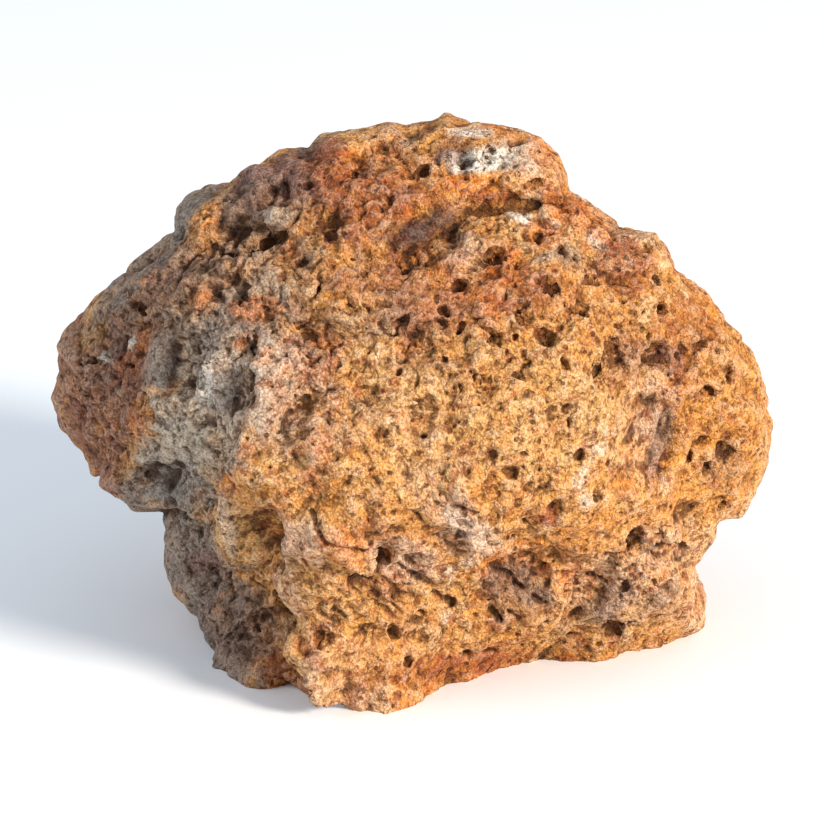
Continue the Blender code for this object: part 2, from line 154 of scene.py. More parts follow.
outline = {
    # clockwise from the far left, round the top and down the right side
    "front": [
        (-150, 6), (-147, 17), (-148, 27), (-146, 34), (-138, 42), (-121, 58), (-106, 71),
        (-100, 76), (-98, 85), (-94, 90), (-86, 95), (-76, 97), (-69, 102), (-62, 105),
        (-55, 110), (-44, 111), (-38, 116), (-22, 118), (-10, 121), (-3, 120), (8, 122),
        (14, 125), (20, 123), (26, 121), (45, 118), (53, 115), (60, 109), (64, 102), (66, 93),
        (76, 86), (87, 78), (101, 75), (106, 69), (110, 60), (121, 52), (131, 39), (137, 33),
        (145, 18), (148, 6), (150, -4), (148, -20), (142, -36), (137, -44), (129, -47),
        (122, -58), (119, -65), (122, -72), (123, -82), (121, -91), (112, -98),
    ],
    # up the left side
    "left": [
        (-84, -108), (-84, -99), (-90, -85), (-99, -75), (-103, -63), (-103, -48), (-105, -42),
        (-116, -41), (-126, -34), (-131, -30), (-137, -17), (-146, -7),
    ],
    # drawing out to the corners: share of the rim where it starts, turn it is evened over, steps round
    "rough": (0.60, 0.14, 150),
    "close": (0.84, 0.0, 240),
    "trim": (0.90, 0.0, 300),           # once more, after the fine surface is made
    "full": 0.97,                       # share of the rim where it is full
    "forward": 1.6, "depth": 70.0,      # it fades towards the back
    "endFade": 0.12,                    # and under the stone, between the two lists, over this turn
    "calm": (0.93, 0.04, 5),            # where the rim's teeth are worn off, over what width, rounds
}

foot = {
    # where the stone meets the ground, seen from above
    "outline": [
        (-11, -85), (0, -76), (7, -67), (14, -56), (27, -49), (36, -39), (52, -30), (76, -33),
        (90, -21), (107, -16), (119, -5), (122, 14), (110, 52), (74, 82), (25, 92), (-28, 88),
        (-70, 68), (-88, 32), (-87, -4), (-83, -28), (-75, -47), (-68, -58), (-62, -61),
        (-50, -55), (-38, -65), (-30, -64), (-20, -80),
    ],
    "reach": 38.0,                      # how high above the ground the stone is drawn to it
    "band": 4.0, "steps": 72,           # where its width is measured now, and in how many steps round
}


def faceRadius(directions):
    total = np.zeros(len(directions))
    for turn, slope, distance in boulder["faces"]:
        turn, slope = math.radians(turn), math.radians(slope)
        normal = np.array([
            math.sin(turn) * math.cos(slope), -math.cos(turn) * math.cos(slope), math.sin(slope),
        ])
        total += np.clip(directions @ normal / distance, 0, None) ** boulder["crispness"]
    return total ** (-1 / boulder["crispness"])


def reachAt(angles, corners):
    xs, ys = np.array(corners, float).T
    turns = np.arctan2(ys, xs)
    order = np.argsort(turns)
    turns, reach = turns[order], np.hypot(xs, ys)[order]
    turns = np.concatenate([turns - 2 * math.pi, turns, turns + 2 * math.pi])
    return np.interp(angles, turns, np.tile(reach, 3))


def widest(angles, reach, bins):
    place = ((angles + math.pi) / (2 * math.pi) * bins).astype(int) % bins
    most = np.zeros(bins)
    np.maximum.at(most, place, reach)
    most = (np.roll(most, 1) + 2 * most + np.roll(most, -1)) / 4
    middles = (np.arange(-1, bins + 1) + 0.5) / bins * 2 * math.pi - math.pi
    return np.interp(angles, middles, np.concatenate([most[-1:], most, most[:1]]))


def drawnToOutline(points, starts, evened, bins):
    u, v, near = seen(points)
    angles, reach = np.arctan2(v, u), np.hypot(u, v)
    rim = widest(angles, reach, bins)
    corners = outline["front"] + outline["left"]
    wanted = np.mean([reachAt(angles + turn, corners) for turn in (-evened, 0, evened)], axis=0)
    right, left = [math.atan2(y, x) for x, y in (outline["front"][-1], outline["left"][0])]
    fade = outline["endFade"]
    under = smooth((right - angles) / fade) * smooth((angles - left) / fade)
    outermost = smooth((reach / rim - starts) / (outline["full"] - starts))
    share = (1 - under) * outermost * smooth(outline["forward"] + near / outline["depth"])
    local = points @ frontAxes().T
    local[:, :2] *= (1 + (wanted / rim - 1) * share)[:, None]
    return local @ frontAxes()


def calmedRim(points, faces):
    # thin teeth that the fine surface leaves along the outline are worn off
    edges, _ = edgesOf(points, faces)
    starts, width, rounds = outline["calm"]
    u, v, _ = seen(points)
    angles, reach = np.arctan2(v, u), np.hypot(u, v)
    share = smooth((reach / widest(angles, reach, outline["trim"][2]) - starts) / width)[:, None]
    for _ in range(rounds):
        points = points + share * (aroundMean(points, edges) - points)
    return points


def meanReach(angles, reach, bins):
    place = ((angles + math.pi) / (2 * math.pi) * bins).astype(int) % bins
    count = np.bincount(place, minlength=bins)
    mean = np.bincount(place, weights=reach, minlength=bins) / np.maximum(count, 1)
    known = np.flatnonzero(count)
    middles = (known + 0.5) / bins * 2 * math.pi - math.pi
    middles = np.concatenate([middles - 2 * math.pi, middles, middles + 2 * math.pi])
    return lambda asked: np.interp(asked, middles, np.tile(mean[known], 3))


def drawnToGround(points):
    height = points[:, 2] + frontView["middleHeight"]
    angles, reach = np.arctan2(points[:, 1], points[:, 0]), np.hypot(points[:, 0], points[:, 1])
    low = np.abs(height) < foot["band"]
    now = meanReach(angles[low], reach[low], foot["steps"])(angles)
    share = smooth(1 - height / foot["reach"])
    moved = points.copy()
    moved[:, :2] *= (1 + (reachAt(angles, foot["outline"]) / now - 1) * share)[:, None]
    return moved


# Ledges, steps, hollows, lumps, cracks and pits of the front.

ledges = {
    # line from left to right, how far the stone below stands back, how far down that lasts
    "waist": ([(2, -77), (17, -68), (30, -62), (46, -59), (60, -58), (73, -61), (90, -60),
               (104, -52), (121, -58)], 6.5, 46.0),
    "underLeftLobe": ([(-150, -34), (-118, -36), (-100, -40), (-84, -44)], 12.0, 50.0),
    "underKnob": ([(-4, 72), (8, 80), (22, 88), (38, 91), (52, 92), (68, 92)], 7.5, 20.0),
    "shoulder": ([(74, 66), (86, 60), (98, 62), (112, 58)], 4.0, 22.0),
    "upperLeft": ([(-96, 62), (-84, 71), (-72, 70), (-60, 79), (-48, 76)], 6.0, 20.0),
    "middle": ([(-52, 40), (-38, 44), (-24, 38), (-8, 36), (6, 42)], 4.5, 18.0),
}
ledgeLip = {"drop": 2.6, "end": 8.0, "swell": 5.0, "crest": 0.6, "share": 0.3}

steps = {
    # edge from top to bottom: the stone to its left stands back by the step, as far as the fade,
    # and the stone to its right stands out by the brow
    "block": {"edge": [(-33, -38), (-42, -46), (-52, -55), (-64, -66), (-59, -73), (-52, -82),
                       (-46, -94), (-42, -100), (-35, -107), (-24, -117), (-10, -128)],
              "step": 15.0, "brow": 6.5, "lip": 3.6, "fade": 56.0, "browFade": 26.0,
              "top": -60.0, "bottom": -200.0},
    "nose": {"edge": [(-64, 34), (-68, 20), (-67, 0), (-73, -20), (-79, -36), (-81, -52), (-76, -66)],
             "step": 6.0, "brow": 1.5, "lip": 5.0, "fade": 34.0, "browFade": 14.0,
             "top": 36.0, "bottom": -74.0},
    "scar": {"edge": [(104, 8), (109, -3), (110, -13), (106, -26), (100, -34)],
             "step": 4.0, "brow": 1.5, "lip": 6.0, "fade": 30.0, "browFade": 12.0,
             "top": 14.0, "bottom": -34.0},
}

hollows = {
    # across, up, half length, half width, tilt of the length, depth
    "darkTrough": (6, 79, 20, 11, 34, 8.0), "troughTail": (40, 91, 22, 2.6, 2, 3.0),
    "upperLeftCave": (-73, 77, 12, 8, 20, 8.0), "upperLeftBowl": (-57, 93, 9, 6.5, 25, 5.0),
    "leftPocket": (-79, 54, 8, 7, 70, 6.0), "leftSlot": (-116, 45, 4.5, 2.6, -20, 4.0),
    "slopeGroove": (-103, 66, 16, 3.2, 48, 3.5), "lobeScoop": (-99, 20, 15, 9, 78, 7.0),
    "innerScoop": (-77, 8, 11, 8, 70, 6.0), "lowerScoop": (-102, -22, 20, 12, 62, 3.5),
    "greyFacet": (-52, -3, 11, 7, 60, 4.5), "ringScoop": (-45, 27, 6, 4.5, 0, 3.0),
    "middleCave": (-9, 41, 6, 3.8, 20, 7.5), "middlePocket": (-27, 46, 4.2, 3.4, 0, 5.0),
    "uprightSlot": (-39, 54, 5.5, 2.8, 80, 5.0), "upperShade": (-32, 82, 6, 4.5, 30, 3.2),
    "rightScar": (97, -8, 21, 13, 86, 1.0),
    "rightCup": (105, 24, 6.4, 6.0, 0, 6.0), "rightCupBeside": (88, 25, 7, 5.6, 60, 4.5),
    "stripedHollow": (47, -74, 16, 11, -42, 6.5), "footHollow": (77, -84, 13, 7.5, 45, 7.5),
    "noseBowl": (-64, -52, 15, 11, 76, 12.5), "underBlock": (-58, -83, 13, 9, -60, 6.0),
    "brownRecess": (-92, -73, 8, 6, 20, 4.0), "crackHole": (-11.5, -63, 7.2, 4.4, 78, 9.5),
    "centreDip": (5, 1, 11, 6, 70, 3.4), "sideHole": (94, -54, 6.4, 3.6, 65, 9.0),
    "sideSlit": (86.6, -61.5, 5.6, 3.2, -12, 8.0),
}

lumps = {
    "knob": (30, 106, 32, 14, 0, 4.0), "whiteNodule": (-60, 83, 7, 4.5, 10, 3.0),
    "nose": (-72, -50, 17, 6, 88, 4.0), "crystalRope": (24, -49, 18, 5, -45, 3.5),
    "blockBrow": (-28, -58, 20, 9, -25, 3.0), "leftLobeBoss": (-133, 4, 20, 14, 80, 3.5),
    "upperRib": (-64, 70, 20, 5, 25, 3.0), "middleRib": (-32, 47, 12, 5, 20, 3.5),
    "rightSwell": (122, 8, 30, 22, 80, 3.0), "footSwell": (112, -70, 22, 10, 85, 2.5),
    "redLump": (-68, -87, 8, 5, -20, 3.0), "cheek": (-52, 14, 16, 9, 60, 3.0),
}

cracks = {
    # course, half width, depth
    "main": ([(-41, -41), (-35, -50), (-26, -52.5), (-14, -57), (-11, -62)], 1.2, 5.0),
    "belowHole": ([(-11, -70), (-5, -76), (8, -79), (18, -84)], 1.7, 3.0),
    "slabEdge": ([(-25, -4), (-19, -16), (-13, -32)], 1.3, 1.5),
    "waistLine": ([(18, -67), (31, -63), (46, -60), (60, -58), (73, -61)], 2.0, 3.0),
}

pits = [
    # across, up, half length, half width, tilt, depth
    (65, 69, 3.4, 2.2, 80, 3.6), (53, 76, 3.0, 1.8, 110, 3.0), (51, 91.5, 3.6, 1.8, 10, 3.2),
    (38, 66, 3.2, 2.8, 110, 3.0), (18, 56, 3.0, 2.5, 0, 3.4), (13, 45.5, 2.4, 2.2, 0, 3.6),
    (48, 44, 4.4, 2.8, 115, 3.4), (61, 53, 3.6, 2.2, 115, 3.0), (72, 45, 3.4, 2.4, 10, 3.4),
    (107, 44, 2.8, 2.0, 110, 3.4), (33, 35, 4.6, 2.8, -30, 3.2), (59, 33, 4.8, 3.0, -35, 3.8),
    (46, 17, 3.8, 2.0, 45, 2.6), (66, 22, 3.0, 2.2, 110, 2.8), (80, 18, 2.6, 2.2, 40, 3.0),
    (122, 36, 2.6, 2.0, -20, 3.0), (122, 25, 3.2, 1.8, 30, 3.0), (135, 17, 4.0, 2.0, 98, 3.4),
    (124, 6, 3.6, 2.6, -20, 3.6), (61, -42, 3.6, 3.2, 100, 2.8), (105, -53, 3.6, 1.8, 65, 3.2),
    (109, -75, 4.6, 2.8, 35, 3.6), (35, -86, 3.8, 2.4, 130, 3.4), (-37, -92, 3.4, 3.0, 90, 3.4),
    (-31, -92, 2.8, 2.0, 60, 3.2), (-6, -94, 3.6, 2.2, 110, 3.4), (20, 109, 4.2, 3.6, 80, 3.4),
    (35, 109, 3.4, 3.0, 0, 3.2), (44, 116, 4.2, 2.0, 20, 3.0), (103, -93, 3.4, 2.6, 90, 3.2),
    # and the smaller ones
    (42, 79, 1.6, 1.4, 0, 2.2), (70, 66, 1.6, 1.4, 0, 2.0), (55, 58, 3.6, 2.2, 20, 2.6),
    (76, 57, 3.0, 1.9, 0, 2.6), (46, 49, 1.8, 1.4, 30, 2.0), (104, 57, 2.0, 1.6, 90, 2.4),
    (85, 75, 1.2, 1.0, 0, 1.8), (98, 71, 1.6, 1.3, 0, 2.0), (107, 49, 2.2, 0.9, 20, 1.8),
    (89, 49, 1.4, 1.2, 0, 1.8), (98, 40, 1.2, 1.0, 0, 1.6), (101, 33, 1.5, 1.1, 90, 1.8),
    (23, 39, 3.6, 1.9, 15, 2.6), (8, 38, 2.4, 1.9, 0, 2.6), (17, 35, 2.4, 1.5, 80, 2.4),
    (45, 27, 2.0, 1.5, 20, 2.0), (110, 17, 1.6, 1.4, 0, 2.2), (113, 25, 1.6, 0.9, 90, 1.8),
    (128, 27, 1.6, 1.4, 0, 2.2), (126, 33, 1.0, 0.9, 0, 1.6), (144, 8, 2.0, 0.9, 90, 1.8),
    (33, -75, 5.0, 2.6, 120, 3.0), (53, -91, 1.2, 1.1, 0, 2.0), (57, -89, 1.2, 1.1, 0, 2.0),
    (83, -92, 4.2, 3.4, 80, 2.8), (93, -92, 3.0, 1.9, 80, 2.6), (102, -73, 2.0, 1.5, 90, 2.2),
    (33, -102, 2.8, 1.4, 0, 2.2), (23, -103, 1.9, 1.7, 0, 2.2), (1, -104, 2.4, 1.8, 80, 2.8),
    (2, -88, 1.6, 1.0, 90, 2.2), (44, -26, 2.8, 2.4, 0, 2.4), (52, -32, 2.4, 2.0, 30, 2.2),
    (118, -18, 2.0, 1.5, 90, 2.4), (132, -17, 3.2, 2.8, 10, 2.8), (125, -25, 2.8, 1.5, 80, 2.6),
    (132, -39, 1.5, 1.4, 0, 2.0), (88, -74, 1.6, 1.4, 0, 2.0), (62, 0, 2.2, 1.6, 30, 2.0),
    (28, 12, 2.4, 1.8, 110, 2.2), (14, 24, 2.0, 1.6, 20, 2.0), (72, -20, 2.4, 1.8, 60, 2.2),
    (30, -20, 2.0, 1.6, 0, 2.0), (80, -34, 2.6, 1.8, 120, 2.4), (-4, 20, 1.8, 1.4, 40, 1.8),
    (-20, 62, 2.2, 1.8, 0, 2.4), (-48, 64, 2.4, 1.8, 30, 2.4), (-10, 92, 1.8, 1.5, 10, 2.0),
    (4, 104, 2.2, 1.8, 40, 2.2), (-24, 102, 2.0, 1.6, 0, 2.0), (-44, 98, 2.4, 1.6, 30, 2.2),
    (-88, 84, 2.0, 1.4, 40, 2.0), (-120, 20, 2.2, 1.6, 0, 2.2), (-136, 22, 1.8, 1.4, 0, 2.0),
    (-128, -8, 2.6, 2.0, 60, 2.4), (-116, 2, 2.0, 1.6, 20, 2.0), (-140, 8, 1.8, 1.4, 0, 2.0),
    (14, -92, 2.4, 1.6, 120, 2.4), (68, -72, 1.8, 1.4, 0, 2.0),
]

spreads = {
    # places of each kind: how far beyond their stated size they reach, how steeply they rise from the rim
    "hollow": (1.25, 1.8), "lump": (1.3, 1.0), "pit": (1.3, None), "part": (1.3, 2.0),
    "smoothPlace": (1.3, 2.2), "streak": (1.2, 1.8), "plate": (1.3, 2.4), "patch": (1.35, None),
    "placeReach": 1.6, "placeMargin": 1.3, "middleReach": 3.0,
    "pitDepth": 1.5, "crack": 1.6, "crackWander": 0.5,
    "frontStart": 0.4, "frontFade": 25.0, "stepEnd": 10.0,
    "wander": 1.6, "wanderSpacing": 9.0, "wanderSeed": 71,
    "wobble": [(9.0, 2.2), (4.2, 1.5)],     # how ragged the edges are: spacing, size
    "fullWobble": 6.0,                      # places narrower than this are ragged by less
    "formSeed": 501, "pitSeed": 521, "pitWobble": 0.75,
}


def spotOn(points, view, across, up, length, width, tilt, wobble):
    # the points near a place on the front, and how near: 1 at its middle, 0 at its rim
    u, v, near = view
    off = np.hypot(u - across, v - up)
    close = np.flatnonzero(off < off[near > 0].min() + spreads["middleReach"])
    centre = points[close[np.argmax(near[close])]]
    axes = frontAxes()
    tilt = math.radians(tilt)
    reach = spreads["placeReach"] * max(length, width)
    inside = np.flatnonzero(off < spreads["placeMargin"] * reach)
    away = points[inside] - centre
    if wobble is not None:
        away = away + min(1.0, min(length, width) / spreads["fullWobble"]) * wobble[inside]
    along = away @ (math.cos(tilt) * axes[0] + math.sin(tilt) * axes[1]) / length
    aside = away @ (math.cos(tilt) * axes[1] - math.sin(tilt) * axes[0]) / width
    inward = away @ axes[2] / reach
    return inside, np.clip(1 - np.sqrt(along**2 + aside**2 + inward**2), 0, 1)


def spots(points, view, kind, places, wobble=None):
    # each place in turn: its points, how much of it they have, and what else it states
    spread, steepness = spreads[kind]
    for across, up, length, width, tilt, *stated in places:
        size = (length * spread, width * spread)
        inside, place = spotOn(points, view, across, up, *size, tilt, wobble)
        yield inside, smooth(steepness * place) if steepness else place, *stated


def facing(near):
    # 1 on the front, 0 at the back
    return smooth(near / spreads["frontFade"] + spreads["frontStart"])


def aboveLine(u, v, line):
    xs, ys = np.array(line, float).T
    end = ledgeLip["end"]
    between = smooth((u - xs[0]) / end + 0.5) * smooth((xs[-1] - u) / end + 0.5)
    return v - np.interp(u, xs, ys), between


def distanceToLine(u, v, line):
    nearest = np.full(len(u), 1e9)
    side = np.zeros(len(u))
    for (x0, y0), (x1, y1) in zip(line[:-1], line[1:]):
        dx, dy = x1 - x0, y1 - y0
        t = np.clip(((u - x0) * dx + (v - y0) * dy) / (dx * dx + dy * dy), 0, 1)
        away = np.hypot(u - x0 - t * dx, v - y0 - t * dy)
        closer = away < nearest
        nearest = np.where(closer, away, nearest)
        side = np.where(closer, np.sign(dx * (v - y0) - dy * (u - x0)), side)
    return nearest, side


def bowl(place):
    # steep at the rim, round at the bottom
    return np.sqrt(np.clip(1 - (1 - np.clip(place, 0, 1)) ** 2, 0, 1))


def wobbleOf(points, seed):
    total = np.zeros_like(points)
    for number, (spacing, size) in enumerate(spreads["wobble"]):
        total += size * threeWaves(points, spacing, seed + 3 * number)
    return total


def frontForms(points):
    view = seen(points)
    u, v, near = view
    wobble = wobbleOf(points, spreads["formSeed"])
    front = facing(near)
    wander = spreads["wander"] * waves(points, spreads["wanderSpacing"], spreads["wanderSeed"])
    relief = np.zeros(len(points))
    for line, step, reach in ledges.values():
        height, between = aboveLine(u, v + wander, line)
        below = smooth(-height / ledgeLip["drop"]) * smooth(1 + height / reach)
        lip = np.exp(-((height / ledgeLip["swell"] - ledgeLip["crest"]) ** 2))
        relief += front * between * step * (ledgeLip["share"] * lip - below)
    for given in steps.values():
        away, side = distanceToLine(u, v + wander, given["edge"])
        left = smooth(0.5 - side * away / given["lip"])
        rise = given["brow"] * (1 - left) * smooth(1 - away / given["browFade"])
        rise -= given["step"] * left * smooth(1 - away / given["fade"])
        rise *= smooth((given["top"] - v) / spreads["stepEnd"])
        relief += front * rise * smooth((v - given["bottom"]) / spreads["stepEnd"])
    for inside, share, depth in spots(points, view, "hollow", hollows.values(), wobble):
        relief[inside] -= depth * share
    for inside, share, height in spots(points, view, "lump", lumps.values(), wobble):
        relief[inside] += height * share
    for line, halfWidth, depth in cracks.values():
        away, _ = distanceToLine(u, v + spreads["crackWander"] * wander, line)
        relief -= front * depth * smooth(1 - away / (spreads["crack"] * halfWidth))
    return relief


def pitted(points):
    # the front's own pits, sunk after the forms so that their rims stay sharp
    wobble = spreads["pitWobble"] * wobbleOf(points, spreads["pitSeed"])
    relief = np.zeros(len(points))
    for inside, place, depth in spots(points, seen(points), "pit", pits, wobble):
        sunk = spreads["pitDepth"] * depth * bowl(place)
        relief[inside] = np.minimum(relief[inside], -sunk)
    return relief


# Weathering all round, and the fine surface.

weathering = {
    "bend": 4.0, "bendSpacing": 16.0, "bendSeed": 31,
    # spacing, height, seed
    "swellings": [(62.0, 5.0, 11), (24.0, 2.0, 12)],
    "knuckles": [(34.0, 7.0, 41), (17.0, 3.6, 51)], "knuckleLevel": 0.35,
    "sharpRidges": [(40.0, 6.0, 81), (19.0, 3.6, 82), (10.0, 1.6, 83)], "ridgeLevel": 0.3,
    # spacing, radius, depth, share, seed
    "scatteredHoles": [(22.0, 5.6, 4.6, 0.60, 101), (13.0, 3.4, 2.8, 0.60, 111)],
    "holeSizes": (0.6, 0.5),            # least share of the radius, and what chance adds to it
    "holeSteepness": 1.4,
    "frontCalm": 0.6,                   # how much shallower the scattered holes are on the front
}

crumb = {
    # spacing, size or height, seed
    "bend": [(11.0, 2.6, 201), (4.5, 1.1, 204)],
    "crags": [(14.0, 1.1, 220), (6.2, 0.55, 221), (3.3, 0.5, 222)], "cragLevel": 0.6,
    "facets": [(17.0, 1.1, 400), (8.5, 0.95, 410), (4.4, 0.75, 420)],
    "grains": [(6.2, 0.25, 230), (3.1, 0.38, 240)],
    # a grain's height at the least and what chance adds, its top, how fast it falls away
    "grainShape": (0.4, 0.8, 0.42, 1.2),
    # spacing, radius, depth, share, seed
    "pores": [(9.5, 2.4, 2.2, 0.40, 270), (5.4, 1.5, 1.7, 0.45, 280), (3.4, 1.0, 1.1, 0.45, 290)],
    "poreSizes": (0.5, 0.5),
    # how craggy and how porous the stone is: middle, swing, spacing, seed, least, most
    "craggy": (0.85, 0.45, 34.0, 210, 0.15, 1.7), "porous": (0.55, 0.45, 26.0, 211, 0.0, 1.2),
    "carry": (0.75, 0.7, 0.35, 1.25),   # crags on larger crags: middle, more on crests, least, most
    # how parts of the front differ: across, up, half length, half width, tilt, crags, pores
    "parts": {
        "upperLeft": (-52, 66, 74, 40, 30, 0.50, -0.05),
        "middle": (-25, 30, 44, 36, 0, 0.25, 0.0),
        "rightFace": (92, 16, 62, 62, 0, -0.12, 0.75),
        "lowerRight": (88, -80, 56, 32, 0, 0.10, 0.60),
        "knob": (32, 104, 38, 18, 0, 0.0, 0.2),
        "block": (-22, -84, 40, 42, 60, -0.25, -0.35),
        "leftLobe": (-122, 5, 46, 48, 0, 0.55, 0.1),
    },
    # places that were worn or broken smooth: name of the hollow, how much smoother
    "smoothPlaces": {"lobeScoop": 0.85, "innerScoop": 0.85, "lowerScoop": 0.7, "rightScar": 0.85,
                     "greyFacet": 0.6, "darkTrough": 0.6, "noseBowl": 0.5, "upperLeftCave": 0.7},
    # streaks: name of the hollow, direction in the front view, spacing across, height, seed
    "streaks": {"rightScar": (84, 1.8, 1.2, 300), "lowerScoop": (50, 2.6, 1.6, 301),
                "stripedHollow": (-42, 2.8, 2.2, 302), "innerScoop": (70, 2.8, 0.9, 303),
                "upperLeftCave": (75, 3.0, 1.8, 304), "lobeScoop": (70, 2.8, 0.8, 305)},
    # plates: across, up, half length, half width, tilt, direction, spacing, height, seed
    "plates": [(-38, -76, 26, 34, -60, -52, 4.4, 1.7, 320), (-10, -78, 26, 20, -35, -35, 4.0, 1.3, 321),
               (24, -50, 24, 12, -45, -48, 3.4, 1.5, 322), (-64, 72, 26, 14, 30, 60, 3.6, 1.4, 323),
               (40, -74, 22, 14, -40, -40, 3.6, 1.2, 324)],
    "plateLevel": 0.4,
    "streakLength": 5, "streakDepth": 3,    # how much longer than wide, along the front and inward
}


def weathered(points):
    bend = threeWaves(points, weathering["bendSpacing"], weathering["bendSeed"])
    bent = points + weathering["bend"] * bend
    relief = np.zeros(len(points))
    for spacing, height, seed in weathering["swellings"]:
        relief += height * waves(points, spacing, seed)
    for spacing, height, seed in weathering["knuckles"]:
        away = nearestCentre(bent, spacing, seed)[0]
        relief += height * (weathering["knuckleLevel"] - (away / spacing) ** 2)
    for spacing, height, seed in weathering["sharpRidges"]:
        relief += height * (weathering["ridgeLevel"] - np.abs(waves(bent, spacing, seed)))
    calm = 1 - weathering["frontCalm"] * facing(seen(points)[2])
    least, added = weathering["holeSizes"]
    for spacing, radius, depth, share, seed in weathering["scatteredHoles"]:
        away, chance = nearestCentre(bent, spacing, seed)[:2]
        size = radius * (least + added * chance / share)
        hole = smooth(weathering["holeSteepness"] * (1 - away / size))
        relief -= calm * (chance < share) * depth * hole
    return relief


def streaked(points, direction, spacing, seed):
    # long narrow waves that run one way over the front
    axes = frontAxes()
    turn = math.radians(direction)
    along = points @ (math.cos(turn) * axes[0] + math.sin(turn) * axes[1])
    aside = points @ (math.cos(turn) * axes[1] - math.sin(turn) * axes[0])
    inward = points @ axes[2] / crumb["streakDepth"]
    return waves(np.stack([along / crumb["streakLength"], aside, inward], axis=1), spacing, seed)


def fineness(points, view):
    # how craggy and how porous the stone is at each point: less where it is worn smooth
    craggy, porous = (
        middle + swing * waves(points, spacing, seed)
        for middle, swing, spacing, seed, *_ in (crumb["craggy"], crumb["porous"])
    )
    for inside, share, crags, pores in spots(points, view, "part", crumb["parts"].values()):
        craggy[inside] += crags * share
        porous[inside] += pores * share
    smoothPlaces = [(*hollows[name][:5], calm) for name, calm in crumb["smoothPlaces"].items()]
    for inside, share, calm in spots(points, view, "smoothPlace", smoothPlaces):
        craggy[inside] *= 1 - calm * share
        porous[inside] *= 1 - calm * share
    return np.clip(craggy, *crumb["craggy"][4:]), np.clip(porous, *crumb["porous"][4:])


def crumbled(points):
    # the fine surface: crags, broken faces, grains, pores, streaks and plates
    view = seen(points)
    bent = points.copy()
    for spacing, size, seed in crumb["bend"]:
        bent += size * threeWaves(points, spacing, seed)
    craggy, porous = fineness(points, view)

    relief = np.zeros(len(points))
    carry = np.ones(len(points))            # crags stand on the crests of larger crags
    middle, more, least, most = crumb["carry"]
    for spacing, height, seed in crumb["crags"]:
        ridge = crumb["cragLevel"] - 2 * np.abs(waves(bent, spacing, seed))
        relief += craggy * carry * height * ridge
        carry = np.clip(middle + more * ridge, least, most)
    for spacing, height, seed in crumb["facets"]:
        relief += craggy * height * facets(bent, spacing, seed)
    low, added, top, fall = crumb["grainShape"]
    for spacing, height, seed in crumb["grains"]:
        away, chance = nearestCentre(bent, spacing, seed, thorough=False)[:2]
        relief += craggy * height * (low + added * chance) * (top - fall * (away / spacing) ** 2)
    smallest, added = crumb["poreSizes"]
    for spacing, radius, depth, share, seed in crumb["pores"]:
        away, chance = nearestCentre(bent, spacing, seed, thorough=False)[:2]
        size = radius * (smallest + added * chance / share)
        relief -= (chance < share * porous) * depth * bowl(1 - away / size)

    streaks = [(*hollows[name][:5], *given) for name, given in crumb["streaks"].items()]
    for inside, share, direction, spacing, height, seed in spots(points, view, "streak", streaks):
        relief[inside] += height * share * streaked(points[inside], direction, spacing, seed)
    for inside, share, direction, spacing, height, seed in spots(points, view, "plate", crumb["plates"]):
        plates = crumb["plateLevel"] - 2 * np.abs(streaked(bent[inside], direction, spacing, seed))
        relief[inside] += height * share * plates
    return relief


# From numbers to a mesh.

def edgesOf(points, faces):
    sides = np.sort(np.concatenate([faces[:, [0, 1]], faces[:, [1, 2]], faces[:, [2, 0]]]), axis=1)
    keys, back = np.unique(sides[:, 0] * len(points) + sides[:, 1], return_inverse=True)
    return np.stack([keys // len(points), keys % len(points)], axis=1), back.reshape(3, -1).T


def splitTriangles(points, faces):
    edges, sides = edgesOf(points, faces)
    halfway = points[edges].mean(axis=1)
    m = len(points) + sides
    a, b, c = faces.T
    faces = np.concatenate([
        np.stack([a, m[:, 0], m[:, 2]], axis=1), np.stack([m[:, 0], b, m[:, 1]], axis=1),
        np.stack([m[:, 2], m[:, 1], c], axis=1), m,
    ])
    return np.concatenate([points, halfway]), faces


def roundTriangles():
    ball = bmesh.new()
    bmesh.ops.create_icosphere(ball, subdivisions=boulder["icoLevel"], radius=1.0)
    points = np.array([v.co[:] for v in ball.verts])
    faces = np.array([[v.index for v in f.verts] for f in ball.faces])
    ball.free()
    points, faces = splitTriangles(points, faces)
    return points / np.linalg.norm(points, axis=1)[:, None], faces


def pointNormals(points, faces):
    a, b, c = (points[faces[:, k]] for k in range(3))
    flat = np.cross(b - a, c - a)
    total = np.zeros_like(points)
    for corner in faces.T:
        for axis in range(3):
            total[:, axis] += np.bincount(corner, weights=flat[:, axis], minlength=len(points))
    return total / np.linalg.norm(total, axis=1)[:, None]


def raised(points, faces, relief):
    return points + pointNormals(points, faces) * relief[:, None]


def aroundMean(points, edges):
    # the mean place of each point's neighbours
    a, b = edges.T
    count = np.bincount(edges.ravel(), minlength=len(points))
    mean = np.empty_like(points)
    for axis in range(3):
        total = np.bincount(a, weights=points[b, axis], minlength=len(points))
        total += np.bincount(b, weights=points[a, axis], minlength=len(points))
        mean[:, axis] = total / count
    return mean


def evenedOut(points, faces, rounds):
    # points slide along the surface towards their neighbours: steep walls get as many as the rest
    edges, _ = edgesOf(points, faces)
    for _ in range(rounds):
        outward = pointNormals(points, faces)
        pull = aroundMean(points, edges) - points
        pull -= outward * np.einsum("ij,ij->i", pull, outward)[:, None]
        points = points + boulder["slide"] * pull
    return points


def meshFrom(name, points, faces):
    mesh = bpy.data.meshes.new(name)
    mesh.vertices.add(len(points))
    mesh.vertices.foreach_set("co", points.astype(np.float32).ravel())
    mesh.loops.add(faces.size)
    mesh.loops.foreach_set("vertex_index", faces.astype(np.int32).ravel())
    mesh.polygons.add(len(faces))
    mesh.polygons.foreach_set("loop_start", np.arange(0, faces.size, 3, dtype=np.int32))
    mesh.update(calc_edges=True)
    return mesh


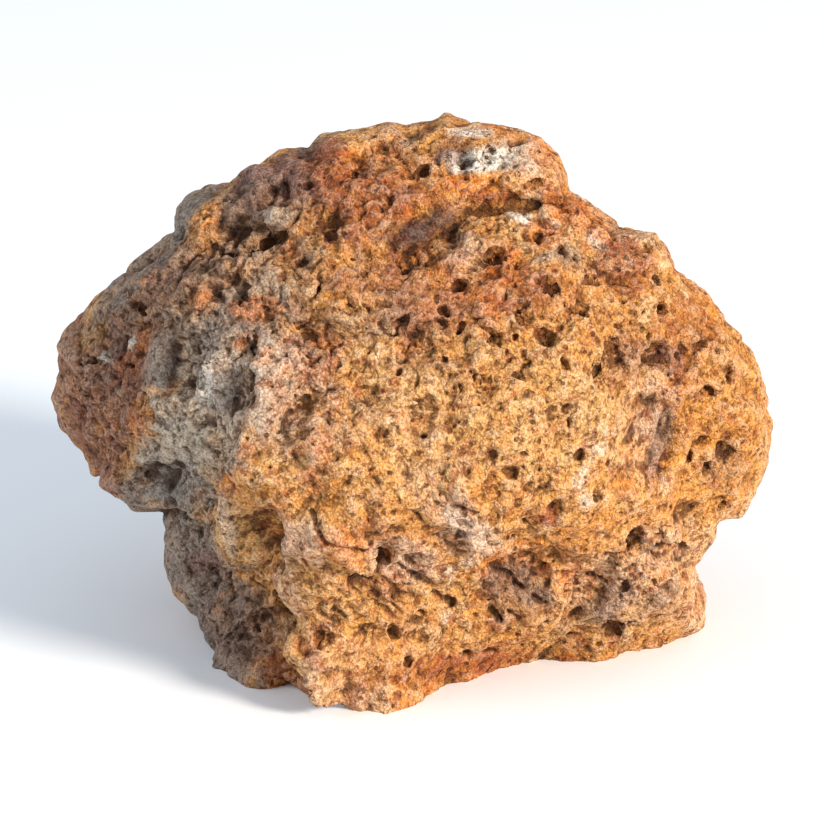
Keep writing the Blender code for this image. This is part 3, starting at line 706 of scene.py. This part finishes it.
def carveStone():
    directions, faces = roundTriangles()
    points = directions * faceRadius(directions)[:, None]
    points = drawnToOutline(points, *outline["rough"])
    relief = weathered(points) + frontForms(points)
    points = raised(points, faces, relief)
    points = drawnToOutline(drawnToGround(points), *outline["close"])
    points = evenedOut(points, faces, boulder["evening"])
    print("forms carved, relief from", round(relief.min(), 1), "to", round(relief.max(), 1), "mm")
    points, faces = splitTriangles(points, faces)
    points = raised(points, faces, pitted(points))
    points = evenedOut(points, faces, boulder["eveningAfterPits"])
    points = raised(points, faces, crumbled(points))
    points = calmedRim(drawnToOutline(points, *outline["trim"]), faces)
    print("surface crumbled,", len(points), "points")
    points -= boxFoot()
    return meshFrom("tufaRock", points / 1000, faces)


def thinOut(stone):
    fewer = stone.modifiers.new("fewer", "DECIMATE")
    fewer.ratio = min(1.0, boulder["keptTriangles"] / len(stone.data.polygons))
    evaluated = stone.evaluated_get(bpy.context.evaluated_depsgraph_get())
    thinned = bpy.data.meshes.new_from_object(evaluated)
    stone.modifiers.clear()
    stone.data = thinned


def cutFlatUnderneath(stone):
    work = bmesh.new()
    work.from_mesh(stone.data)
    everything = work.verts[:] + work.edges[:] + work.faces[:]
    cut = bmesh.ops.bisect_plane(
        work, geom=everything, dist=1e-6, plane_co=(0, 0, 0), plane_no=(0, 0, 1), clear_inner=True
    )
    rim = [g for g in cut["geom_cut"] if isinstance(g, bmesh.types.BMEdge)]
    for edge in rim:
        edge.verts[0].co.z = edge.verts[1].co.z = 0.0
    bmesh.ops.holes_fill(work, edges=rim, sides=0)
    bmesh.ops.recalc_face_normals(work, faces=work.faces[:])
    work.to_mesh(stone.data)
    work.free()


def dropCrumbs(stone):
    # loose bits that the cut has left beside the stone go
    work = bmesh.new()
    work.from_mesh(stone.data)
    work.verts.ensure_lookup_table()
    label = np.full(len(work.verts), -1)
    sizes = []
    for start in work.verts:
        if label[start.index] >= 0:
            continue
        label[start.index] = len(sizes)
        queue, found = [start], 0
        while queue:
            vertex = queue.pop()
            found += 1
            for edge in vertex.link_edges:
                other = edge.other_vert(vertex)
                if label[other.index] < 0:
                    label[other.index] = len(sizes)
                    queue.append(other)
        sizes.append(found)
    loose = [v for v in work.verts if label[v.index] != int(np.argmax(sizes))]
    bmesh.ops.delete(work, geom=loose, context="VERTS")
    print("loose bits dropped:", len(sizes) - 1)
    work.to_mesh(stone.data)
    work.free()


stone = bpy.data.objects.new("tufaRock", carveStone())
bpy.context.scene.collection.objects.link(stone)
thinOut(stone)
cutFlatUnderneath(stone)
dropCrumbs(stone)
stone.data.shade_smooth()
print("stone has", len(stone.data.polygons), "faces")


# Colours, from how the surface lies, with painted shade in its hollows and a painted highlight on its
# crests, and from named patches.

def fromSrgb(shades):
    shares = np.array(shades) / 255
    return np.where(shares > 0.04045, ((shares + 0.055) / 1.055) ** 2.4, shares / 12.92)


stoneShades = {
    "tan": (215, 162, 100), "gold": (210, 138, 58), "orange": (214, 116, 38), "rust": (158, 78, 38),
    "plum": (135, 93, 82), "brown": (86, 54, 38), "umber": (140, 113, 95), "dusk": (72, 56, 56),
    "slate": (142, 132, 122), "ash": (186, 172, 152), "chalk": (232, 220, 202), "pink": (220, 176, 144),
}
stoneColours = {name: fromSrgb(shades) for name, shades in stoneShades.items()}
# how much less a colour is speckled than the rest
dullColours = {"plum": 0.45, "umber": 0.7, "dusk": 0.9, "slate": 0.9, "ash": 0.85, "chalk": 0.6}

# across, up, half length, half width, tilt, colour, strength
patches = [
    # left lobe and what lies below it
    (-104, 40, 44, 24, 40, "umber", 0.55), (-140, 2, 50, 30, 82, "plum", 0.80),
    (-128, 32, 14, 12, 30, "umber", 0.50), (-136, 31, 9, 5, 40, "tan", 0.45),
    (-108, 52, 14, 9, 45, "plum", 0.55), (-119, 22, 11, 6, 50, "rust", 0.55),
    (-130, 12, 8, 5, -30, "brown", 0.45), (-112, 33, 7, 5, 60, "orange", 0.50),
    (-117, -6, 11, 6, 72, "orange", 0.45), (-116, -22, 12, 6, 50, "tan", 0.55),
    (-130, 25, 3.5, 2.5, 0, "chalk", 0.9), (-119, 29, 3.5, 3, 0, "chalk", 0.8),
    (-87, 10, 36, 24, 76, "ash", 0.80), (-100, 20, 14, 8, 78, "slate", 0.85),
    (-77, 8, 10, 7, 70, "slate", 0.80), (-88, 22, 16, 4.5, 82, "chalk", 0.55),
    (-100, -22, 26, 14, 55, "ash", 0.80), (-84, -40, 14, 12, 0, "slate", 0.60),
    (-96, -60, 40, 30, 80, "slate", 0.90), (-92, -70, 9, 6, 0, "plum", 0.60),
    (-84, -100, 26, 20, -50, "slate", 0.80), (-70, -92, 28, 15, -50, "umber", 0.80),
    (-64, -87, 8, 6, -20, "pink", 0.50), (-54, -108, 18, 7, -30, "rust", 0.60),
    # tan over the nose bowl; the umber on its right wall is painted shade
    (-69, -51, 11, 17, 8, "tan", 0.90), (-56, -54, 5, 13, 8, "umber", 0.75),
    (-79, -48, 3, 16, 8, "chalk", 0.40), (-52, -3, 13, 9, 60, "ash", 0.50),
    (-46, 27, 8, 6, 0, "slate", 0.45), (-58, 24, 13, 12, 0, "chalk", 0.35),
    # upper left
    (-75, 62, 52, 30, 38, "umber", 0.60), (-114, 64, 34, 9, 46, "slate", 0.65),
    (-98, 84, 16, 8, 48, "slate", 0.7), (-74, 78, 13, 9, 15, "umber", 0.85),
    (-59, 82, 8, 4.5, 0, "ash", 0.65), (-68, 100, 6, 4, 30, "chalk", 0.75),
    (-88, 72, 9, 9, 40, "gold", 0.50), (-88, 51, 7, 7, 0, "orange", 0.55),
    (-50, 104, 24, 13, 20, "plum", 0.90), (-62, 94, 12, 8, 30, "umber", 0.70),
    (-46, 66, 18, 9, -60, "umber", 0.60), (-62, 64, 18, 4, 20, "gold", 0.50),
    (-66, 54, 10, 16, 0, "ash", 0.40), (-52, 70, 4, 10, 0, "orange", 0.50),
    (-64, 41, 10, 5, 0, "orange", 0.55), (-34, 60, 12, 14, 30, "gold", 0.45),
    (-32, 45, 12, 6, 15, "gold", 0.80), (-24, 34, 26, 8, 0, "umber", 0.40),
    (-26, 78, 18, 12, 20, "rust", 0.55), (-16, 58, 16, 8, 0, "plum", 0.45),
    # top and knob
    (-32, 104, 10, 15, 0, "rust", 0.65), (-14, 106, 16, 14, 0, "orange", 0.60),
    (-8, 92, 30, 14, 20, "rust", 0.65), (-4, 114, 4, 6, 0, "ash", 0.50),
    (-13, 105, 7, 4, 0, "umber", 0.45), (2, 91, 8, 5, 0, "plum", 0.55),
    # the dark trough: partly its own dark purple-brown, partly painted shade
    (8, 79, 24, 11, 34, "brown", 0.55), (9, 78, 17, 8, 34, "dusk", 0.80),
    (21, 84, 9, 5, 30, "plum", 0.60), (30, 106, 34, 18, 0, "gold", 0.45),
    (25, 107, 15, 5.5, 3, "chalk", 1.0), (46, 108, 13, 9, -20, "chalk", 0.50),
    (24, 119, 9, 3, 0, "chalk", 0.75), (22, 96, 15, 5, 0, "orange", 1.0),
    (44, 98, 20, 5, 0, "gold", 0.65), (16, 111, 7, 5, 0, "plum", 0.60), (34, 90, 12, 3, 0, "rust", 0.75),
    (46, 85.5, 5.5, 3.5, -20, "chalk", 0.95), (78, 75, 5.5, 3, -40, "chalk", 0.95),
    (66, 85, 16, 7, -35, "orange", 0.65), (60, 112, 8, 14, 0, "orange", 0.50),
    # middle and right
    (12, 56, 36, 20, 0, "rust", 0.50), (20, 46, 18, 12, 0, "orange", 0.60),
    (0, 40, 26, 12, 0, "umber", 0.40), (36, 64, 8, 7, 0, "orange", 0.80),
    (54, 76, 7, 8, 0, "orange", 0.65), (65, 68, 7, 6, 0, "umber", 0.60),
    (56, 48, 20, 13, -20, "rust", 0.60), (78, 48, 16, 14, 0, "gold", 0.55),
    (90, 61, 12, 10, 0, "rust", 0.50), (20, 70, 8, 10, 30, "chalk", 0.25),
    (70, 30, 30, 10, 0, "gold", 0.40), (58, 6, 48, 30, 0, "tan", 0.45),
    (134, 12, 28, 40, 0, "gold", 0.65), (118, 34, 14, 12, 0, "rust", 0.40),
    (128, -30, 26, 16, 0, "gold", 0.60), (132, -19, 9, 7, 0, "umber", 0.45),
    (116, 14, 10, 8, 0, "rust", 0.40), (97, -6, 19, 12, 86, "pink", 0.50),
    # the umber strip along the scar's right wall is painted shade
    (106, -13, 14, 4.5, 82, "umber", 0.75), (105, 24, 7, 6, 0, "plum", 0.65),
    (86, 24, 10, 8, 60, "plum", 0.55), (60, -43, 4.5, 4.5, 0, "rust", 0.95),
    (16, -46, 24, 9, -50, "pink", 0.55), (28, -54, 16, 5, -40, "chalk", 0.35),
    (-4, -10, 22, 30, 0, "tan", 0.45), (-38, 0, 10, 26, 0, "pink", 0.35),
    (-34, -34, 8, 14, 0, "gold", 0.50), (-14, -46, 20, 8, -15, "gold", 0.65),
    (-10, -51, 12, 3, -15, "rust", 0.60), (76, -52, 12, 10, 0, "gold", 0.55),
    # front block and lower right
    (-30, -80, 36, 34, -60, "tan", 0.50), (-46, -56, 12, 10, -40, "pink", 0.75),
    (-25, -60, 12, 9, -40, "orange", 0.65), (-50, -78, 6, 20, 30, "pink", 0.55),
    (-38, -92, 6, 5, 0, "rust", 0.75), (-30, -92, 8, 16, 30, "pink", 0.30),
    (-14, -76, 9, 8, 0, "rust", 0.50), (-12, -98, 22, 18, 0, "gold", 0.50),
    (-42, -104, 16, 4, -50, "rust", 0.65), (-2, -64, 15, 9, -20, "pink", 0.70),
    (20, -107, 30, 5.5, 6, "rust", 0.80), (46, -73, 16, 10, -42, "umber", 0.85),
    (40, -90, 20, 8, 0, "gold", 0.40), (77, -84, 14, 8, 45, "umber", 0.90),
    (104, -74, 34, 26, 0, "pink", 0.35), (108, -73, 9, 6, 30, "umber", 0.50),
    (62, -92, 18, 8, 0, "tan", 0.50), (93.5, -54, 3, 5, 65, "brown", 0.9),
    (70, -60, 26, 3, 0, "gold", 0.50),
]

toning = {
    "blotches": [(44.0, 0.50), (17.0, 0.55), (7.5, 0.5), (3.6, 0.45)],  # spacing, strength
    # laid over all the stone: colour, seed, most, start, steepness
    "ground": [("gold", 410, 0.75, 0.5, 1.1), ("pink", 420, 0.45, -0.1, 1.4),
               ("orange", 430, 0.7, -0.3, 1.5), ("rust", 440, 0.65, -0.4, 1.5),
               ("chalk", 450, 0.6, -0.75, 1.6), ("brown", 490, 0.55, -0.6, 1.8)],
    # only towards the top, and only away from the front
    "upper": ("plum", 480, 0.55, -0.1, 2.0), "upperFrom": 15.0, "upperOver": 60.0,
    "far": ("umber", 460, 0.7, -0.2, 1.2), "farStart": 0.2, "farOver": 60.0,
    # how far the patches' edges wander, in millimetres, how blotchy they are, how sharp
    "patchWander": 5.0, "wanderSpacing": 8.0, "wanderSeed": 401,
    "patchBlotch": 0.42, "blotchSeed": 470, "patchEdge": 4, "patchSteepness": 2.0,
    "hollowSteps": (7, 55),             # how many rounds of smoothing tell small and large hollows
    "hollowDepth": (0.45, 2.2),         # depths that count as fully hollow, in millimetres
    "brownAndShade": ((0.5, 0.25), (0.2, 0.35)),  # small and large hollows, browned and darkened as painted shade: most, and where it starts
    "chalkAndHighlight": (0.18, 0.3),             # crests, paled with chalk and with a painted highlight: most, and where it starts
}


def numbersOf(items, name, width, kind=float):
    numbers = np.empty(len(items) * width, kind)
    items.foreach_get(name, numbers)
    return numbers.reshape(-1, width)


def sunkBelow(points, normals, edges, rounds):
    # how far each point lies below its own neighbourhood; negative where it stands out
    even = points
    for _ in range(rounds):
        even = (even + aroundMean(even, edges)) / 2
    return np.einsum("ij,ij->i", even - points, normals)


def mixIn(colour, name, share):
    return colour + (stoneColours[name] - colour) * np.clip(share, 0, 1)[:, None]


def toneStone(mesh):
    points = numbersOf(mesh.vertices, "co", 3) * 1000
    normals = numbersOf(mesh.vertex_normals, "vector", 3)
    edges = numbersOf(mesh.edges, "vertices", 2, np.int32)
    small, large = (
        sunkBelow(points, normals, edges, rounds) / depth
        for rounds, depth in zip(toning["hollowSteps"], toning["hollowDepth"])
    )
    points = points + boxFoot()
    bend = threeWaves(points, toning["wanderSpacing"], toning["wanderSeed"])
    bent = points + toning["patchWander"] * bend
    view = seen(points)

    def blotch(seed):
        return sum(k * waves(bent, s, seed + i) for i, (s, k) in enumerate(toning["blotches"]))

    def laid(colour, given, where=1.0):
        name, seed, most, start, steepness = given
        share = where * most * smooth(start + steepness * blotch(seed))
        return mixIn(colour, name, share), share

    colour = np.tile(stoneColours["tan"], (len(points), 1))
    for given in toning["ground"]:
        colour, _ = laid(colour, given)
    towardsTop = smooth((view[1] - toning["upperFrom"]) / toning["upperOver"])
    colour, _ = laid(colour, toning["upper"], towardsTop)
    awayFromFront = smooth(points[:, 1] / toning["farOver"] + toning["farStart"])
    colour, dull = laid(colour, toning["far"], awayFromFront)
    speckle = 1 - dullColours["umber"] * dull
    edge = toning["patchBlotch"] * blotch(toning["blotchSeed"])
    for inside, place, name, strength in spots(points, view, "patch", patches):
        ragged = place + edge[inside] * smooth(toning["patchEdge"] * place)
        share = strength * smooth(toning["patchSteepness"] * ragged)
        colour[inside] = mixIn(colour[inside], name, share)
        speckle[inside] *= 1 - dullColours.get(name, 0.0) * share
    # hollows turn brown, partly their own colour and partly painted shade; crests turn pale, partly chalk
    # and partly a painted highlight
    brownAndShade = zip((small, large), toning["brownAndShade"])
    colour = mixIn(colour, "brown", sum(most * smooth(sunk - start) for sunk, (most, start) in brownAndShade))
    most, start = toning["chalkAndHighlight"]
    colour = mixIn(colour, "chalk", most * speckle * smooth(-small - start))
    return colour, speckle, small, large


def addStain(mesh):
    # the stain's fourth number says how far the grains take their own colours
    colour, speckle, small, large = toneStone(mesh)
    stain = mesh.attributes.new("stain", "FLOAT_COLOR", "POINT")
    stain.data.foreach_set("color", np.concatenate([colour, speckle[:, None]], axis=1).ravel())
    # 0 on crests, 1 in hollows; the finish paints shade in the hollows by it
    hollow = mesh.attributes.new("hollow", "FLOAT", "POINT")
    hollow.data.foreach_set("value", 0.5 + 0.25 * (np.clip(small, -1, 1) + np.clip(large, -1, 1)))


addStain(stone.data)
print("stone toned")


# Where the finish lies when it is printed on the surface: six sides, the front largest.

sheetPlaces = {
    # axis, sign: left, bottom, width, height on the sheet
    (1, -1): (0.00, 0.50, 0.60, 0.50), (1, 1): (0.00, 0.00, 0.42, 0.50),
    (0, 1): (0.60, 0.50, 0.40, 0.50), (0, -1): (0.42, 0.00, 0.29, 0.50),
    (2, 1): (0.71, 0.17, 0.29, 0.33), (2, -1): (0.71, 0.00, 0.29, 0.17),
}
sheetFit = {"steepest": 0.3, "half": 0.46, "over": 1.08}    # keeps each side within its own part


def layOutSheet(mesh):
    points = numbersOf(mesh.vertices, "co", 3) - np.array([0, 0, frontView["middleHeight"] / 1000])
    corners = numbersOf(mesh.loops, "vertex_index", 1, np.int32)[:, 0]
    sizes = numbersOf(mesh.polygons, "loop_total", 1, np.int32)[:, 0]
    ofFace = np.repeat(np.arange(len(sizes)), sizes)
    middle = np.stack([np.bincount(ofFace, weights=points[corners, k]) for k in range(3)], axis=1)
    middle /= np.linalg.norm(middle, axis=1)[:, None]
    axis = np.abs(middle).argmax(axis=1)[ofFace]
    sign = np.sign(np.take_along_axis(middle[ofFace], axis[:, None], axis=1))[:, 0]
    direction = points[corners] / np.linalg.norm(points[corners], axis=1)[:, None]
    spots = np.zeros((len(corners), 2))
    for (along, way), (left, bottom, width, height) in sheetPlaces.items():
        here = (axis == along) & (sign == way)
        across, up = [k for k in range(3) if k != along]
        outward = np.clip(np.abs(direction[here, along]), sheetFit["steepest"], None)
        flat = direction[here][:, [across, up]] / outward[:, None]
        flat = 0.5 + sheetFit["half"] * np.clip(flat, -sheetFit["over"], sheetFit["over"])
        spots[here] = flat * (width, height) + (left, bottom)
    layer = mesh.uv_layers.new(name="OFBake")
    layer.data.foreach_set("uv", spots.ravel())


layOutSheet(stone.data)
print("sheet laid out")


# The finish: crumbly, porous stone.

finish = {
    "ragged": 0.7,                      # how far the grains' edges wander, in millimetres
    "grainSize": 0.95,                  # grains per millimetre
    "crumbSize": 0.26,                  # crumbs per millimetre
    "patchSize": 0.085,                 # patches of colour per millimetre
    "poreSize": 0.24,                   # pores per millimetre
    "noise": {"crumb": (4, 0.68, 0.3), "patch": (4, 0.66, 0.5), "field": (4, 0.66, 0.4)},
    "fieldShift": (300, 0, 0), "fieldScale": 1.9,
    "poreEdge": (0.34, 0.16), "poreFields": (0.44, 0.56),
    "relief": 0.0014,                   # metres
    "heights": {"crumb": 1.6, "grain": -0.34, "pore": -0.55},
    "roughness": (0.84, 1.0), "specular": 0.2,
    "paleToneAndHighlight": (1.32, 1.38, 1.46),        # what pale grains, pale patches and the painted highlight on the crumbs' crests do to the colour under them
    # what dark grains, and the painted shade between grains, in the crumbs' dips, in pores and in hollows,
    # do to the colour under them
    "darkToneAndShade": (0.37, 0.305, 0.265),
    "orangeGrain": (0.72, 0.31, 0.075),
    "rustGrain": (0.36, 0.10, 0.035),
    # coats over the stain: what tells where they lie, from, to, most, colour, whether held back by speckle
    "coats": [
        ("patch", 0.53, 0.59, 0.42, "orangeGrain", True), ("field", 0.55, 0.61, 0.60, "rustGrain", True),
        ("field", 0.42, 0.34, 0.40, "paleToneAndHighlight", False), ("kindA", 0.66, 0.74, 0.45, "paleToneAndHighlight", False),
        ("kindB", 0.72, 0.80, 0.12, "orangeGrain", True), ("kindC", 0.70, 0.78, 0.40, "darkToneAndShade", False),
        # painted shade between the grains and in the crumbs' dips, and a painted highlight on the crumbs'
        # crests
        ("grain", 0.42, 0.80, 0.62, "darkToneAndShade", False), ("crumb", 0.46, 0.37, 0.88, "darkToneAndShade", False),
        ("crumb", 0.57, 0.65, 0.50, "paleToneAndHighlight", False),
    ],
    # painted shade in the pores and in the hollows
    "poreShade": 0.90, "hollowShade": (0.66, 1.0, 0.0, 0.75),
}


def crumblyStone():
    material = bpy.data.materials.new("crumblyTufa")
    material.use_nodes = True
    nodes, links = material.node_tree.nodes, material.node_tree.links
    shader = nodes["Principled BSDF"]

    def add(kind, **settings):
        node = nodes.new(kind)
        for key, value in settings.items():
            setattr(node, key, value)
        return node

    def put(socket, value):
        if hasattr(value, "is_output"):
            links.new(value, socket)
        else:
            socket.default_value = value

    def figure(operation, *values):
        node = add("ShaderNodeMath", operation=operation)
        for socket, value in zip(node.inputs, values):
            put(socket, value)
        return node.outputs["Value"]

    def moved(operation, *values):
        node = add("ShaderNodeVectorMath", operation=operation)
        for socket, value in zip(node.inputs, values):
            put(socket, value)
        return node.outputs["Vector"]

    def noise(at, scale, detail, roughness, distortion):
        node = add("ShaderNodeTexNoise")
        for key, value in (("Vector", at), ("Scale", scale), ("Detail", detail),
                           ("Roughness", roughness), ("Distortion", distortion)):
            put(node.inputs[key], value)
        return node

    def between(value, low, high, toLow=0.0, toHigh=1.0):
        node = add("ShaderNodeMapRange", interpolation_type="SMOOTHSTEP")
        for key, given in (("Value", value), ("From Min", low), ("From Max", high),
                           ("To Min", toLow), ("To Max", toHigh)):
            put(node.inputs[key], given)
        return node.outputs["Result"]

    def mix(share, a, b, blend="MIX"):
        node = add("ShaderNodeMix", data_type="RGBA", blend_type=blend)
        put(node.inputs["Factor"], share)
        put(node.inputs[6], a if hasattr(a, "is_output") else (*a, 1))
        put(node.inputs[7], b if hasattr(b, "is_output") else (*b, 1))
        return node.outputs[2]

    # object coordinates in millimetres
    place = moved("MULTIPLY", add("ShaderNodeTexCoord").outputs["Object"], (1000, 1000, 1000))
    stain = add("ShaderNodeAttribute", attribute_name="stain")
    hollow = add("ShaderNodeAttribute", attribute_name="hollow").outputs["Fac"]

    def cells(at, scale):
        node = add("ShaderNodeTexVoronoi")
        put(node.inputs["Vector"], at)
        put(node.inputs["Scale"], scale)
        return node

    crumbs = noise(place, finish["crumbSize"], *finish["noise"]["crumb"])
    ragged = moved("SUBTRACT", crumbs.outputs["Color"], (0.5, 0.5, 0.5))
    ragged = moved("MULTIPLY", ragged, (finish["ragged"] * 4,) * 3)
    raggedPlace = moved("ADD", place, ragged)
    grains = cells(raggedPlace, finish["grainSize"])
    kind = add("ShaderNodeSeparateColor")
    put(kind.inputs["Color"], grains.outputs["Color"])
    pores = cells(raggedPlace, finish["poreSize"])
    fieldPlace = moved("ADD", place, finish["fieldShift"])
    field = noise(fieldPlace, finish["patchSize"] * finish["fieldScale"], *finish["noise"]["field"])
    where = {
        "crumb": crumbs.outputs["Fac"], "grain": grains.outputs["Distance"],
        "patch": noise(place, finish["patchSize"], *finish["noise"]["patch"]).outputs["Fac"],
        "field": field.outputs["Fac"],
        "kindA": kind.outputs["Red"], "kindB": kind.outputs["Green"], "kindC": kind.outputs["Blue"],
    }
    pore = figure("MULTIPLY", between(pores.outputs["Distance"], *finish["poreEdge"]),
                  between(where["field"], *finish["poreFields"]))

    colour = stain.outputs["Color"]
    for what, start, end, most, coat, speckled in finish["coats"]:
        share = between(where[what], start, end, 0.0, most)
        if speckled:
            colour = mix(figure("MULTIPLY", stain.outputs["Alpha"], share), colour, finish[coat])
        else:
            colour = mix(share, colour, finish[coat], "MULTIPLY")
    # painted shade in the pores and in the hollows of the surface
    colour = mix(figure("MULTIPLY", pore, finish["poreShade"]), colour, finish["darkToneAndShade"], "MULTIPLY")
    colour = mix(between(hollow, *finish["hollowShade"]), colour, finish["darkToneAndShade"], "MULTIPLY")
    put(shader.inputs["Base Color"], colour)

    put(shader.inputs["Roughness"], between(where["crumb"], 0.3, 0.7, *finish["roughness"]))
    shader.inputs["Specular IOR Level"].default_value = finish["specular"]

    heights = finish["heights"]
    height = figure("MULTIPLY", where["grain"], heights["grain"])
    height = figure("MULTIPLY_ADD", where["crumb"], heights["crumb"], height)
    height = figure("MULTIPLY_ADD", pore, heights["pore"], height)
    bump = add("ShaderNodeBump")
    put(bump.inputs["Height"], height)
    put(bump.inputs["Distance"], finish["relief"])
    put(bump.inputs["Strength"], 1.0)
    put(shader.inputs["Normal"], bump.outputs["Normal"])
    return material


stone.data.materials.append(crumblyStone())
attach(stone, "root")
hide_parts("tufa_rock")
print("stone finished")


# Floor, light and camera.

studio = {
    "floorSize": 30.0,
    "floorColour": (0.92, 0.92, 0.92), "floorRoughness": 0.9, "floorSpecular": 0.1,
    "sky": (0.80, 0.89, 1.0),
    "skyStrength": 0.70,
    "key": {"turn": 52, "rise": 25, "away": 5.0, "size": 1.3, "power": 350,
            "colour": (1.0, 0.93, 0.84)},
    "fill": {"turn": -70, "rise": 30, "away": 5.0, "size": 3.0, "power": 85,
             "colour": (0.80, 0.90, 1.0)},
}


def makeFloor():
    half = studio["floorSize"] / 2
    mesh = bpy.data.meshes.new("floor")
    corners = [(-half, -half, 0), (half, -half, 0), (half, half, 0), (-half, half, 0)]
    mesh.from_pydata(corners, [], [(0, 1, 2, 3)])
    floor = bpy.data.objects.new("floor", mesh)
    bpy.context.scene.collection.objects.link(floor)
    paper = bpy.data.materials.new("palePaper")
    paper.use_nodes = True
    shader = paper.node_tree.nodes["Principled BSDF"]
    shader.inputs["Base Color"].default_value = (*studio["floorColour"], 1)
    shader.inputs["Roughness"].default_value = studio["floorRoughness"]
    shader.inputs["Specular IOR Level"].default_value = studio["floorSpecular"]
    mesh.materials.append(paper)


def lookFrom(turn, rise):
    turn, rise = math.radians(turn), math.radians(rise)
    flat = math.cos(rise)
    return Vector((math.sin(turn) * flat, -math.cos(turn) * flat, math.sin(rise)))


def makeLight(name):
    given = studio[name]
    lamp = bpy.data.lights.new(name, "AREA")
    lamp.shape = "DISK"
    lamp.size = given["size"]
    lamp.energy = given["power"]
    lamp.color = given["colour"]
    light = bpy.data.objects.new(name, lamp)
    way = lookFrom(given["turn"], given["rise"])
    light.location = way * given["away"]
    light.rotation_euler = (-way).to_track_quat("-Z", "Y").to_euler()
    light.visible_camera = False
    bpy.context.scene.collection.objects.link(light)


def makeSky():
    world = bpy.data.worlds.new("sky")
    bpy.context.scene.world = world
    world.use_nodes = True
    background = world.node_tree.nodes["Background"]
    background.inputs["Color"].default_value = (*studio["sky"], 1)
    background.inputs["Strength"].default_value = studio["skyStrength"]


def makeCamera():
    data = bpy.data.cameras.new("frontCamera")
    camera = bpy.data.objects.new("frontCamera", data)
    bpy.context.scene.collection.objects.link(camera)
    distance = frontView["distance"] / 1000
    tallest = max(frontView["picture"]) * frontView["millimetresPerPixel"] / 1000
    data.sensor_width = frontView["sensor"]
    data.lens = data.sensor_width * distance / tallest
    data.clip_end = 100                     # well beyond the floor
    target = Vector(-boxFoot()) / 1000
    back = lookFrom(0, math.degrees(frontView["tilt"]))
    camera.location = target + back * distance
    camera.rotation_euler = (-back).to_track_quat("-Z", "Y").to_euler()
    bpy.context.scene.camera = camera


makeFloor()
makeLight("key")
makeLight("fill")
makeSky()
makeCamera()
bpy.context.scene.view_settings.view_transform = "Standard"
print("floor, light and camera ready")
